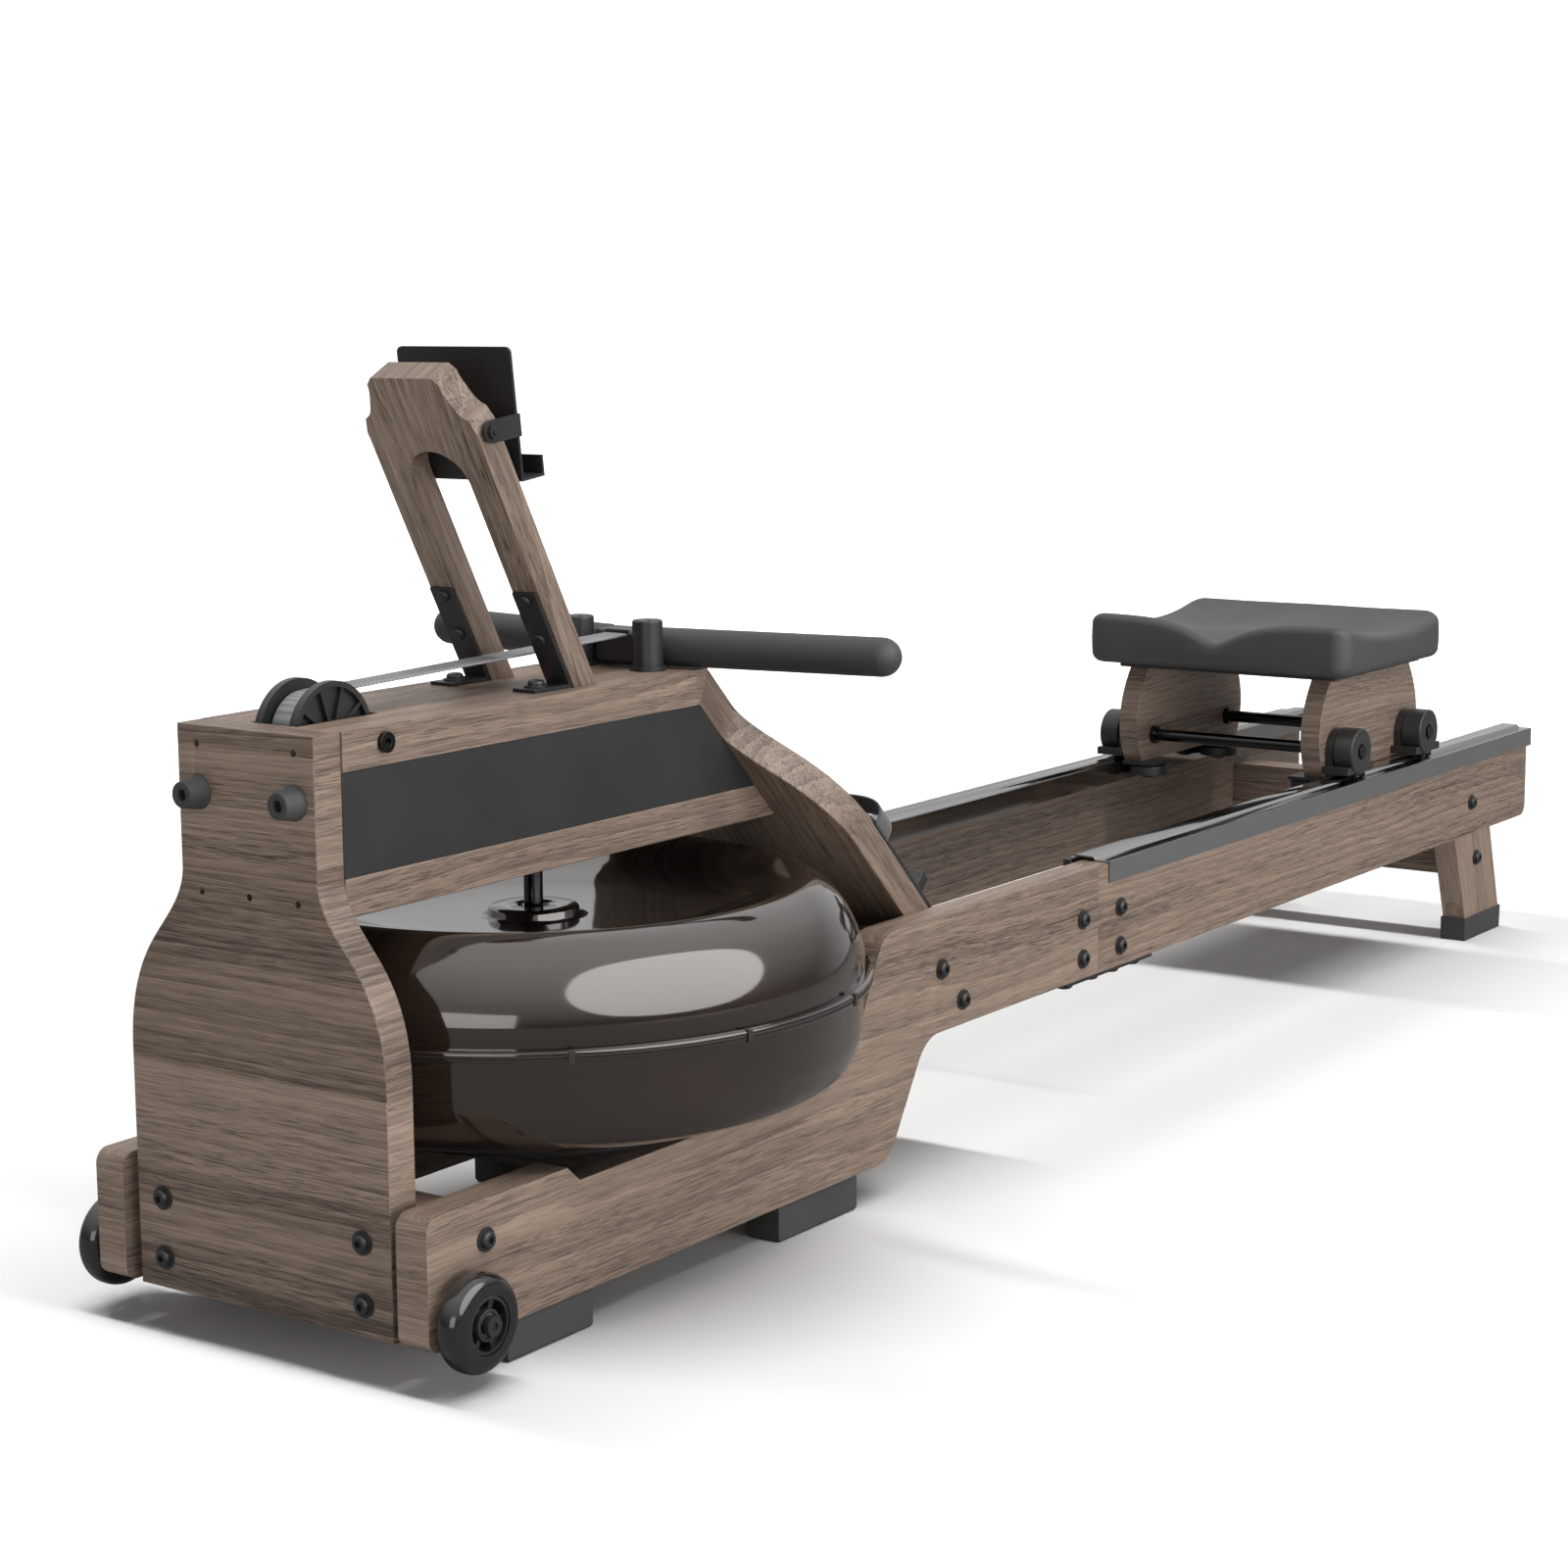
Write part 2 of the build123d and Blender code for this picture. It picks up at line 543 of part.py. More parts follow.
clamp_half = 22.0
clamp = block(strap_end_x + 0.4, handle_x + 15, -clamp_half, clamp_half, handle_z - 15, handle_z + 15)
clamp = fillet(clamp.edges().filter_by(Axis.Y), 5)
clamp -= bar_core
clamp -= block(strap_end_x - 5, strap_end_x + 4, -strap_width / 2 - 0.5, strap_width / 2 + 0.5,
               strap_end_z - 3, strap_end_z + 3)
keep("handle_clamp", clamp)

# ---- pegs that hold the handle ---------------------------------------------------------------------------------
peg_radius, peg_height = 13.0, 43.0


def peg(y):
    body = Pos(0, 0, peg_height / 2) * Cylinder(peg_radius, peg_height)
    body = fillet(body.edges().group_by(Axis.Z)[-1], 2)
    body += Pos(0, 0, 2) * Cylinder(peg_radius + 2.5, 4)
    for k in range(4):
        body -= Rot(0, 0, 90 * k + 45) * Pos(9, 0, peg_height) * Box(5, 3, 3)
    body += Pos(0, 0, -shank / 2) * Cylinder(bolt_radius, shank)
    return Pos(peg_x, y, tower_top) * body


keep("handle_pegs", *[peg(y) for y in (-peg_y, peg_y)])

# ---- tablet post: a leaning board with an arch cut out, drawn on its own front face ----------------------------
tilt = radians(post_tilt)
post_plane = Plane((post_front_x, 0, tower_top), x_dir=(0, 1, 0), z_dir=(cos(tilt), 0, sin(tilt)))
post_half, post_inner, post_length = 57.0, 30.0, 287.0
post_thick = 25.0
arch_top = 221.0


def post_face():
    start = -30.0
    head_half, notch_half = 37.0, 41.0
    outline = []
    for sign in (-1, 1):
        outline.append(Line((sign * post_half, start), (sign * post_half, 238)))
        outline.append(Line((sign * post_half, 238), (sign * (post_half - 4), 250)))
        outline.append(Spline((sign * (post_half - 4), 250), (sign * notch_half, 266), (sign * head_half, 281),
                              tangents=[(-sign * 1.0, 0.35), (0.0, 1.0)]))
        outline.append(Line((sign * head_half, 281), (sign * (head_half - 6), post_length)))
    outline.append(Line((-head_half + 6, post_length), (head_half - 6, post_length)))
    outline.append(Line((-post_half, start), (post_half, start)))
    face = make_face(Curve() + outline)
    slot = Pos(0, (start - 5 + arch_top - post_inner) / 2) * Rectangle(
        2 * post_inner, arch_top - post_inner - start + 5)
    arch = Pos(0, arch_top - post_inner) * Circle(post_inner)
    return face - slot - arch


# The plane's y axis runs up the slope; its normal points back, through the thickness.
post = extrude(post_plane * post_face(), amount=post_thick)
post -= block(200, 500, -100, 100, tower_top - 90, tower_top)


def on_post(up, out):
    """x and z of a point that is up the slope and out from the post's front face."""
    return (post_front_x - up * sin(tilt) + out * cos(tilt), tower_top + up * cos(tilt) + out * sin(tilt))


pivot_up = 233.0
pivot_x, pivot_z = on_post(pivot_up, post_thick / 2)
for side in (-1, 1):
    post -= rod("Y", pivot_x, side * (post_half - 10), pivot_z, 3 + running, 30)
post_solids = post.solids()
keep("tablet_post", *post_solids)

bracket_wall, bracket_inner, bracket_outer = 3.0, 31.5, 55.5
bracket_up, bracket_foot = 92.0, 48.0


def post_bracket(sign):
    low, high = sorted((sign * bracket_inner, sign * bracket_outer))
    middle, width = (low + high) / 2, high - low
    plate = post_plane * Pos(middle, bracket_up / 2 - 2, -bracket_wall / 2) * Box(
        width, bracket_up + 4, bracket_wall)
    foot_end = post_front_x - bracket_foot
    foot_stop = post_front_x - bracket_wall * tan(tilt)
    foot = block(foot_end, foot_stop, low, high, tower_top, tower_top + bracket_wall)
    shape = plate + foot
    shape -= block(200, 500, -100, 100, tower_top - 30, tower_top)
    return shape - Pos(293, sign * 43, tower_top) * Cylinder(bolt_radius + running, 20)


keep("post_brackets", *[post_bracket(sign) for sign in (-1, 1)])


def post_screw(up, across):
    """Pan-head screw on the bracket's face."""
    head = Pos(0, 0, 1.5) * Cylinder(5.5, 3)
    head = fillet(head.edges().group_by(Axis.Z)[-1], 1.8)
    return post_plane * Pos(across, up, -bracket_wall) * Rot(180, 0, 0) * head


# ---- tablet holder: a sheet with two side lugs on the pivot and a lipped ledge; it tilts about Y -----------------
holder_out, holder_low, holder_high, sheet = 34.0, -45.0, 61.0, 2.5
holder_half, lip_height = 58.5, 17.0
holder_lean = radians(7.0)
holder_plane = Plane((pivot_x, 0, pivot_z), x_dir=(0, 1, 0), z_dir=(cos(holder_lean), 0, sin(holder_lean)))


def holder():
    def local(across, up, out, dx, dy, dz):
        return holder_plane * Pos(across, up, out) * Box(dx, dy, dz)
    back = local(0, (holder_low + holder_high) / 2, holder_out, 2 * holder_half, holder_high - holder_low, sheet)
    back = fillet(back.edges().filter_by(lambda e: abs(e.length - sheet) < 0.01), 5)
    ledge = local(0, holder_low + sheet / 2, holder_out + 13, 2 * holder_half, sheet, 28)
    lip = local(0, holder_low + lip_height / 2, holder_out + 27 - sheet / 2, 2 * holder_half, lip_height, sheet)
    shape = back + ledge + lip
    for sign in (-1, 1):
        reach = holder_out + sheet / 2
        lug = local(sign * (holder_half + sheet / 2), 0, reach / 2, sheet, 18, reach)
        lug += rod("Y", pivot_x, sign * (holder_half + sheet / 2), pivot_z, 9, sheet)
        lug -= rod("Y", pivot_x, sign * (holder_half + sheet / 2), pivot_z, 3 + running, 10)
        shape += lug
    return shape


keep("tablet_holder", holder())


def pivot_screw(sign):
    stem = rod("Y", pivot_x, sign * (post_half - 1), pivot_z, 3, 20)
    return stem + rod("Y", pivot_x, sign * (holder_half + sheet + 2), pivot_z, 5.5, 3)


# ---- footplates, heel rests and straps -----------------------------------------------------------------------
plate_inner, plate_outer, plate_start, plate_end, plate_thick = 18.0, 136.0, 205.0, 395.0, 9.0


def on_slope(a0, a1, b0, b1, c0, c1):
    """A block on the footboard's rear face: down the slope, across, and out from the face."""
    return slope_plane * Pos((a0 + a1) / 2, (b0 + b1) / 2, (c0 + c1) / 2) * Box(a1 - a0, b1 - b0, c1 - c0)


footplate = on_slope(plate_start, plate_end, plate_inner, plate_outer, 0, plate_thick)
footplate = fillet(footplate.edges().filter_by(lambda e: abs(e.length - plate_thick) < 0.01), 14)
guide_mid = (plate_inner + plate_outer) / 2
guide = on_slope(plate_start + 14, plate_end - 10, guide_mid - 14, guide_mid + 14, 3, plate_thick + 1)
footplate -= guide
keep("footplates", *pair(footplate))

heel_start = 318.0


def heel_rest():
    tongue = on_slope(heel_start - 60, heel_start + 28, guide_mid - 13.5, guide_mid + 13.5,
                      3.4, plate_thick + 0.5)
    sole = on_slope(heel_start - 70, heel_start + 28, plate_inner + 12, plate_outer - 12,
                    plate_thick + 0.5, plate_thick + 5)
    cup = on_slope(heel_start + 16, heel_start + 28, plate_inner + 12, plate_outer - 12,
                   plate_thick + 0.5, plate_thick + 25)
    shape = tongue + sole + cup
    shape -= on_slope(heel_start - 40, heel_start + 5, plate_inner + 30, plate_outer - 30,
                      plate_thick + 1, plate_thick + 8)
    return shape + tongue


heel = heel_rest()
keep("heel_rest_right", heel)
keep("heel_rest_left", mirror_y(heel))


def foot_strap():
    """A webbing loop over the toes: two uprights joined by an arch."""
    low, high = 0.5, 34.0
    outline = make_face(Polyline((plate_inner - 3, low), (plate_outer + 3, low), (plate_outer + 3, 20),
                                 (plate_outer - 18, high), (plate_inner + 18, high), (plate_inner - 3, 20),
                                 close=True))
    inner = make_face(Polyline((plate_inner - 1, low - 4), (plate_outer + 1, low - 4), (plate_outer + 1, 19),
                               (plate_outer - 19, high - 2), (plate_inner + 19, high - 2),
                               (plate_inner - 1, 19), close=True))
    band_plane = Plane(slope_plane.from_local_coords((232, 0, 0)), x_dir=(0, 1, 0),
                       z_dir=(-1, 0, 1))
    return outline, inner, band_plane


strap_outline, strap_inner, strap_plane = foot_strap()
strap_normal_up = (strap_plane.y_dir.Z > 0)
if not strap_normal_up:
    strap_plane = Plane(strap_plane.origin, x_dir=(0, 1, 0), z_dir=(1, 0, -1))
foot_loop = extrude(strap_plane * (strap_outline - strap_inner), amount=15, both=True)
keep("foot_straps", *pair(foot_loop))

# ---- seat carriage --------------------------------------------------------------------------------------------
plate_in, plate_out = 105.0, 129.0
rollers_x = (seat_x - roller_gap / 2, seat_x + roller_gap / 2)
seat_bottom, seat_top = 360.0, 424.0


def side_plate():
    """A wooden D on its flat foot: broad at the axle, narrower under the cushion."""
    mid, low, high = seat_x, 243.0, 354.0
    outline = [Line((mid - 122, low), (mid + 122, low)),
               Spline((mid + 122, low), (mid + 135, 282), (mid + 108, high), tangents=[(0.6, 1), (-0.8, 1)]),
               Line((mid + 108, high), (mid - 108, high)),
               Spline((mid - 108, high), (mid - 135, 282), (mid - 122, low), tangents=[(-0.8, -1), (0.6, -1)])]
    return slab(make_face(Curve() + outline), -plate_out, -plate_in)


wood_plate = side_plate()
rod_radius = 7.0
for x in rollers_x:
    wood_plate -= rod("Y", x, -117, roller_z, rod_radius, 40)
keep("seat_side_plates", *pair(wood_plate))

rod_end = 165.0
axles = []
for x in rollers_x:
    spindle = rod("Y", x, 0, roller_z, rod_radius, 2 * 139)
    spindle += rod("Y", x, 0, roller_z, 5, 2 * rod_end)
    for side in (-1, 1):
        spindle += rod("Y", x, side * (plate_in - 3), roller_z, 10.5, 6)
        spindle += rod("Y", x, side * (rod_end - 1), roller_z, 8, 2)
    axles.append(spindle)
keep("seat_rods", *axles)

roller_in, roller_out = 139.5, 163.0
for along, x in zip(("front", "rear"), rollers_x):
    body = rod("Y", x, -(roller_in + roller_out) / 2, roller_z, roller_radius - 0.5, roller_out - roller_in)
    body = fillet(body.edges().group_by(Axis.Y)[0], 2)
    body -= rod("Y", x, -roller_out, roller_z, 9, 6)
    body -= rod("Y", x, -150, roller_z, 5 + running, 60)
    keep(f"track_roller_{along}_left", body)
    keep(f"track_roller_{along}_right", mirror_y(body))

bracket_in = plate_out


def roller_bracket(x):
    """Arched plate beside the roller, with a shoe that reaches out over the track in front of and
    behind the roller."""
    arch = rod("Y", x, -(bracket_in + 4.5), roller_z, 25, 9)
    arch += block(x - 25, x + 25, -bracket_in - 9, -bracket_in, 250, roller_z)
    arch -= rod("Y", x, -134, roller_z, rod_radius, 30)
    shoes = block(x - 34, x + 34, -roller_out + 1, -bracket_in, 248.5, 257)
    shoes -= rod("Y", x, -150, roller_z, roller_radius + 1.5, 2 * (150 - bracket_in - 9))
    return arch + shoes


guide_radius, guide_y, guide_low = 23.2, 105.5, 226.0
guide_x = (rollers_x[0] - 10, rollers_x[1] - 18)
brackets = [roller_bracket(x) for x in rollers_x]
guides = []
for x in guide_x:
    foot = block(x - 26, x + 26, -127, -88, 239, 243)
    pin = rod("Z", x, -guide_y, 231.5, 5, 15.2)
    head = rod("Z", x, -guide_y, 223.2, 8, 1.6)
    guides.append(foot + pin + head)
keep("carriage_brackets", *[s for piece in brackets + guides for s in pair(piece)])

for along, x in zip(("front", "rear"), guide_x):
    disc = rod("Z", x, -guide_y, guide_low + 6, guide_radius, 11)
    disc = fillet(disc.edges().group_by(Axis.Z)[-1], 1.5)
    disc -= rod("Z", x, -guide_y, guide_low, 5 + running, 40)
    keep(f"guide_roller_{along}_left", disc)
    keep(f"guide_roller_{along}_right", mirror_y(disc))

seat_base = block(seat_x - 118, seat_x + 118, -138, 138, 354, seat_bottom)
keep("seat_base", seat_base)

seat_front_x, seat_rear_x, seat_half = seat_x - 151, seat_x + 124, 168.0
cushion = block(seat_front_x, seat_rear_x, -seat_half, seat_half, seat_bottom, seat_top)
cushion = fillet(cushion.edges().filter_by(Axis.Z), 30)
cushion = fillet(cushion.edges().group_by(Axis.Z)[0], 14)
cushion = fillet(cushion.edges().group_by(Axis.Z)[-1], 8)
saddle_low, saddle_radius = seat_top - 22, 470.0        # a broad hollow from side to side
cushion -= rod("Y", seat_x + 2, 0, saddle_low + saddle_radius, saddle_radius, 2 * seat_half + 2)
relief_radius, relief_low = 85.0, 394.0                 # and a notch in the middle of the front edge
relief = Pos(seat_front_x, 0, relief_low + relief_radius) * Rot(0, 84, 0) * Cylinder(relief_radius, 300)
cushion -= relief
keep("seat_cushion", cushion)

# ---- transport wheels, on shoulder bolts ------------------------------------------------------------------------
wheel_in, wheel_width = half_outer + 4.0, 24.0


def wheel():
    """Moulded tread on a spoked hub."""
    body = Cylinder(wheel_radius, wheel_width)
    body = fillet(body.edges(), 9)
    for side in (-1, 1):
        recess = Pos(0, 0, side * wheel_width / 2) * (Cylinder(21, 8) - Cylinder(9.5, 8))
        body -= recess
    for k in range(6):
        body -= Rot(0, 0, 60 * k) * Pos(15, 0, 0) * Cylinder(3.2, 40)
    body -= Cylinder(axle_radius + running, 40)
    return Pos(wheel_x, -(wheel_in + wheel_width / 2), wheel_z) * Rot(90, 0, 0) * body


keep("wheel_left", wheel())
keep("wheel_right", mirror_y(wheel()))


def wheel_bolt():
    shape = rod("Y", wheel_x, -(half_inner + wheel_in + wheel_width) / 2, wheel_z, axle_radius,
                wheel_in + wheel_width - half_inner)
    shape += rod("Y", wheel_x, -(half_outer + 1.8), wheel_z, 9, 3.6)
    shape += rod("Y", wheel_x, -(wheel_in + wheel_width + 2.6), wheel_z, 8, 4.4)
    shape -= rod("Y", wheel_x, -(wheel_in + wheel_width + 5), wheel_z, 3, 4)
    return shape


# ---- all visible fasteners of the frame ---------------------------------------------------------------------------
frame_bolts = []
for x, z in front_board_bolts + rear_board_bolts:
    frame_bolts += pair(side_bolt_place(x, z) * bolt())
frame_bolts += pair(side_bolt_place(*leg_bolt, y=half_outer - 1.5) * bolt())
frame_bolts += [front_bolt_place(y, z) * bolt() for y, z in panel_bolts]
for x in under_bolt_x:
    frame_bolts += pair(under_bolt(x))
frame_bolts += pair(wheel_bolt())
for x, y in bracket_bolts:
    frame_bolts.append(Pos(x, y, tower_top + bracket_wall) * bolt())
for up in (48, 85):
    frame_bolts += [post_screw(up, across) for across in (-43, 43)]
frame_bolts += [pivot_screw(sign) for sign in (-1, 1)]
keep("frame_bolts", *frame_bolts)

# ---- write every node, moved to the origin in the middle of the footprint ------------------------------------------
os.makedirs("parts", exist_ok=True)
place = Pos(-middle_x, 0, 0)
for name, solids in nodes.items():
    moved = [place * solid for solid in solids]
    shape = moved[0] if len(moved) == 1 else Compound(children=moved)
    export_step(shape, f"parts/{name}.step")
print(len(nodes), "nodes")
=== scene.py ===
import bmesh
import bpy
import json
import numpy as np
from math import cos, pi, radians, sin, sqrt
from mathutils import Matrix, Vector


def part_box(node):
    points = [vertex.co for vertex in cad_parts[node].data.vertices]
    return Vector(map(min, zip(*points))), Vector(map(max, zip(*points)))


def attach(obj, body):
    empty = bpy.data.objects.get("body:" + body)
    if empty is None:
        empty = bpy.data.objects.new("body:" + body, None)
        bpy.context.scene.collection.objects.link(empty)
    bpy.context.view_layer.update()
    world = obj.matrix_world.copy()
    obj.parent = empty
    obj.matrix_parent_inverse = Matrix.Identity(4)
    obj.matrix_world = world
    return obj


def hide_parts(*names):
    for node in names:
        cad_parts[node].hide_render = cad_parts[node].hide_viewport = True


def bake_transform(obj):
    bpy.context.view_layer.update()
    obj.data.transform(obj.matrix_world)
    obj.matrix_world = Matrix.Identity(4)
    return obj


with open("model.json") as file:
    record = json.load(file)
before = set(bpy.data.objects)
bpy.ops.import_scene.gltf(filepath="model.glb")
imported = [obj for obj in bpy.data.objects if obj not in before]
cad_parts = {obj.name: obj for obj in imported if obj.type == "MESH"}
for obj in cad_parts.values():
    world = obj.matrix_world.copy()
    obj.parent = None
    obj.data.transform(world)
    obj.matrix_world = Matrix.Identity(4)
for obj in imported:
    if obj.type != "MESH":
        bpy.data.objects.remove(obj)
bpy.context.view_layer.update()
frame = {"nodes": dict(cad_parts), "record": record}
cad = frame["nodes"]


def bodyOf(nodeName):
    # the body whose list in the record holds this node
    for body, names in frame["record"]["behaviour"]["bodies"].items():
        if nodeName in names:
            return body
    raise KeyError(nodeName)


def middleOf(nodeName):
    low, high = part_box(nodeName)
    return (Vector(low) + Vector(high)) / 2


# node trees: short helpers, so a material reads from top to bottom

def add(tree, kind, inputs=None, **settings):
    made = tree.nodes.new(kind)
    for key, value in settings.items():
        setattr(made, key, value)
    for key, value in (inputs or {}).items():
        if isinstance(value, bpy.types.NodeSocket):
            tree.links.new(value, made.inputs[key])
        else:
            made.inputs[key].default_value = value
    return made


def calc(tree, operation, first, second=0.0):
    return add(tree, "ShaderNodeMath", {0: first, 1: second}, operation=operation).outputs[0]


def scaled(tree, vector, factors):
    return add(tree, "ShaderNodeVectorMath", {0: vector, 1: factors}, operation="MULTIPLY").outputs[0]


def shifted(tree, vector, offset):
    return add(tree, "ShaderNodeVectorMath", {0: vector, 1: offset}, operation="ADD").outputs[0]


def noise(tree, vector, scale=1.0, detail=2.0, rough=0.5, distortion=0.0):
    return add(tree, "ShaderNodeTexNoise", {"Vector": vector, "Scale": scale, "Detail": detail,
                                            "Roughness": rough, "Distortion": distortion}).outputs[0]


def reachAlong(tree, vector, direction):
    return add(tree, "ShaderNodeVectorMath", {0: vector, 1: direction},
               operation="DOT_PRODUCT").outputs["Value"]


def span(tree, value, low, high, outLow=0.0, outHigh=1.0):
    return add(tree, "ShaderNodeMapRange", {0: value, 1: low, 2: high, 3: outLow, 4: outHigh}).outputs[0]


def mixColour(tree, factor, first, second, blend="MIX"):
    made = add(tree, "ShaderNodeMix", {0: factor, 6: first, 7: second}, data_type="RGBA", blend_type=blend)
    return made.outputs[2]


def ramp(tree, value, stops):
    made = add(tree, "ShaderNodeValToRGB", {0: value})
    bar = made.color_ramp
    while len(bar.elements) < len(stops):
        bar.elements.new(0.5)
    for element, (place, colour) in zip(bar.elements, stops):
        element.position = place
        element.color = (*colour, 1)
    return made.outputs[0]


def newGroup(name, inputs, outputs):
    # a shader node group whose sockets are given as {name: type}; vectors and plain values in
    tree = bpy.data.node_groups.new(name, "ShaderNodeTree")
    for label, kind in inputs.items():
        tree.interface.new_socket(name=label, in_out="INPUT", socket_type="NodeSocket" + kind)
    for label, kind in outputs.items():
        tree.interface.new_socket(name=label, in_out="OUTPUT", socket_type="NodeSocket" + kind)
    return tree, tree.nodes.new("NodeGroupInput").outputs, tree.nodes.new("NodeGroupOutput").inputs


# each layer's stretch along the grain, across the board and through it, and its share of the tone
figureLook = {
    "wanderStretch": (1.6, 7.0, 7.0), "wander": 0.030,
    "bandStretch": (0.9, 26.0, 26.0), "bandShare": 0.24,
    "ringStretch": (0.55, 7.5, 3.2), "ringShare": 0.10,
    "streakStretch": (6.0, 300.0, 300.0), "streakShare": 0.25,
    "fineStretch": (22.0, 900.0, 900.0), "fineShare": 0.32,
    "staveShare": 0.12, "staveJump": (3.7, 1.3),
    "poreStretch": (36.0, 1250.0, 1250.0), "poreCut": (0.54, 0.63),
    "longPoreStretch": (18.0, 700.0, 700.0), "longPoreCut": (0.60, 0.69),
    "patchCut": (0.35, 0.62), "patchLeast": 0.35, "rough": (0.40, 0.60),
}


def woodFigureGroup():
    # Vector has the grain along its x, the board's width along y and its thickness along z.
    # Tone runs from dark to light: broad bands + flame-shaped rings + mid streaks + fine streaks,
    # each a noise stretched along x; Pores is the mask of the finest short dark lines.
    look = figureLook
    tree, given, result = newGroup(
        "woodFigure", {"Vector": "Vector", "Stave": "Float"},
        {"Tone": "Float", "Pores": "Float", "Rough": "Float", "Height": "Float"})
    parts = add(tree, "ShaderNodeSeparateXYZ", {0: given["Vector"]})
    # the board's width is cut into staves, and each jumps to another place in the figure
    width = calc(tree, "ADD", parts.outputs[1], 5.013)
    strip = calc(tree, "FLOOR", calc(tree, "DIVIDE", width, given["Stave"]))
    chance = add(tree, "ShaderNodeTexWhiteNoise", {"W": strip}, noise_dimensions="1D").outputs["Value"]
    jump = add(tree, "ShaderNodeCombineXYZ", {
        0: calc(tree, "MULTIPLY", chance, look["staveJump"][0]),
        2: calc(tree, "MULTIPLY", chance, look["staveJump"][1])}).outputs[0]
    place = shifted(tree, given["Vector"], jump)
    wander = noise(tree, scaled(tree, place, look["wanderStretch"]), detail=2)
    wander = calc(tree, "MULTIPLY", calc(tree, "SUBTRACT", wander, 0.5), look["wander"])
    place = shifted(tree, place, add(tree, "ShaderNodeCombineXYZ", {1: wander, 2: wander}).outputs[0])
    bands = noise(tree, scaled(tree, place, look["bandStretch"]), detail=3, rough=0.55)
    rings = add(tree, "ShaderNodeTexWave", {
        "Vector": scaled(tree, place, look["ringStretch"]), "Scale": 6.0, "Distortion": 5.0, "Detail": 3.0,
        "Detail Scale": 0.9, "Detail Roughness": 0.6},
        wave_type="RINGS", rings_direction="X", wave_profile="SAW").outputs[1]
    streaks = noise(tree, scaled(tree, place, look["streakStretch"]), detail=3, rough=0.6)
    fine = noise(tree, scaled(tree, place, look["fineStretch"]), detail=3, rough=0.7)
    tone = calc(tree, "MULTIPLY", bands, look["bandShare"])
    for share, layer in (("ringShare", rings), ("streakShare", streaks), ("fineShare", fine),
                         ("staveShare", chance)):
        tone = calc(tree, "ADD", tone, calc(tree, "MULTIPLY", layer, look[share]))
    pores = noise(tree, scaled(tree, place, look["poreStretch"]), detail=2, rough=0.5)
    pores = span(tree, pores, *look["poreCut"])
    longer = noise(tree, scaled(tree, place, look["longPoreStretch"]), detail=1, rough=0.4)
    pores = calc(tree, "MAXIMUM", pores, span(tree, longer, *look["longPoreCut"]))
    patchy = span(tree, bands, *look["patchCut"], 1.0, look["patchLeast"])
    pores = calc(tree, "MULTIPLY", pores, patchy)
    tree.links.new(tone, result["Tone"])
    tree.links.new(pores, result["Pores"])
    tree.links.new(span(tree, calc(tree, "ADD", fine, pores), 0.3, 1.3, *look["rough"]), result["Rough"])
    tree.links.new(calc(tree, "SUBTRACT", streaks, pores), result["Height"])
    return tree


def mouldedGrainGroup():
    # a leather-like moulding grain: the edges of small cells plus fine noise, and a slow change in gloss
    tree, given, result = newGroup(
        "mouldedGrain", {"Vector": "Vector", "Size": "Float", "Rough Low": "Float", "Rough High": "Float"},
        {"Height": "Float", "Rough": "Float", "Tone": "Float"})
    cells = add(tree, "ShaderNodeTexVoronoi", {"Vector": given["Vector"], "Scale": given["Size"]},
                feature="SMOOTH_F1").outputs[0]
    gritSize = calc(tree, "MULTIPLY", given["Size"], 2.3)
    grit = add(tree, "ShaderNodeTexNoise", {"Vector": given["Vector"], "Scale": gritSize,
                                            "Detail": 2.0}).outputs[0]
    slow = noise(tree, given["Vector"], scale=17.0, detail=4)
    tree.links.new(calc(tree, "ADD", calc(tree, "MULTIPLY", cells, 0.6), calc(tree, "MULTIPLY", grit, 0.4)),
                   result["Height"])
    tree.links.new(add(tree, "ShaderNodeMapRange", {0: slow, 1: 0.3, 2: 0.7, 3: given["Rough Low"],
                                                    4: given["Rough High"]}).outputs[0], result["Rough"])
    tree.links.new(calc(tree, "ADD", calc(tree, "MULTIPLY", grit, 0.5), calc(tree, "MULTIPLY", slow, 0.5)),
                   result["Tone"])
    return tree


def ribbedWebbingGroup():
    # ribs across the run of a woven band: a rounded sine along Vector's x, broken by a finer one along y
    tree, given, result = newGroup("ribbedWebbing", {"Vector": "Vector", "Pitch": "Float"},
                                   {"Height": "Float", "Tone": "Float"})
    parts = add(tree, "ShaderNodeSeparateXYZ", {0: given["Vector"]})
    turns = calc(tree, "MULTIPLY", calc(tree, "DIVIDE", parts.outputs[0], given["Pitch"]), 2 * pi)
    along = calc(tree, "ABSOLUTE", calc(tree, "SINE", turns))
    across = calc(tree, "ABSOLUTE", calc(tree, "SINE", calc(tree, "MULTIPLY", parts.outputs[1], 5200.0)))
    fuzz = noise(tree, given["Vector"], scale=1400.0, detail=2)
    height = calc(tree, "ADD", along, calc(tree, "MULTIPLY", across, 0.35))
    tree.links.new(height, result["Height"])
    # painted highlight and shade: the tone follows the rib height, so the crests are painted lighter and
    # the grooves darker; the fuzz adds the band's own random tone
    tone = calc(tree, "ADD", calc(tree, "MULTIPLY", height, 0.55), calc(tree, "MULTIPLY", fuzz, 0.45))
    tree.links.new(tone, result["Tone"])
    return tree


woodFigure = woodFigureGroup()
mouldedGrain = mouldedGrainGroup()
ribbedWebbing = ribbedWebbingGroup()
print("shared effects ready")


def startMaterial(name):
    made = bpy.data.materials.new(name)
    made.use_nodes = True
    tree = made.node_tree
    shader = tree.nodes["Principled BSDF"]
    place = tree.nodes.new("ShaderNodeTexCoord").outputs["Object"]
    return made, tree, shader, place


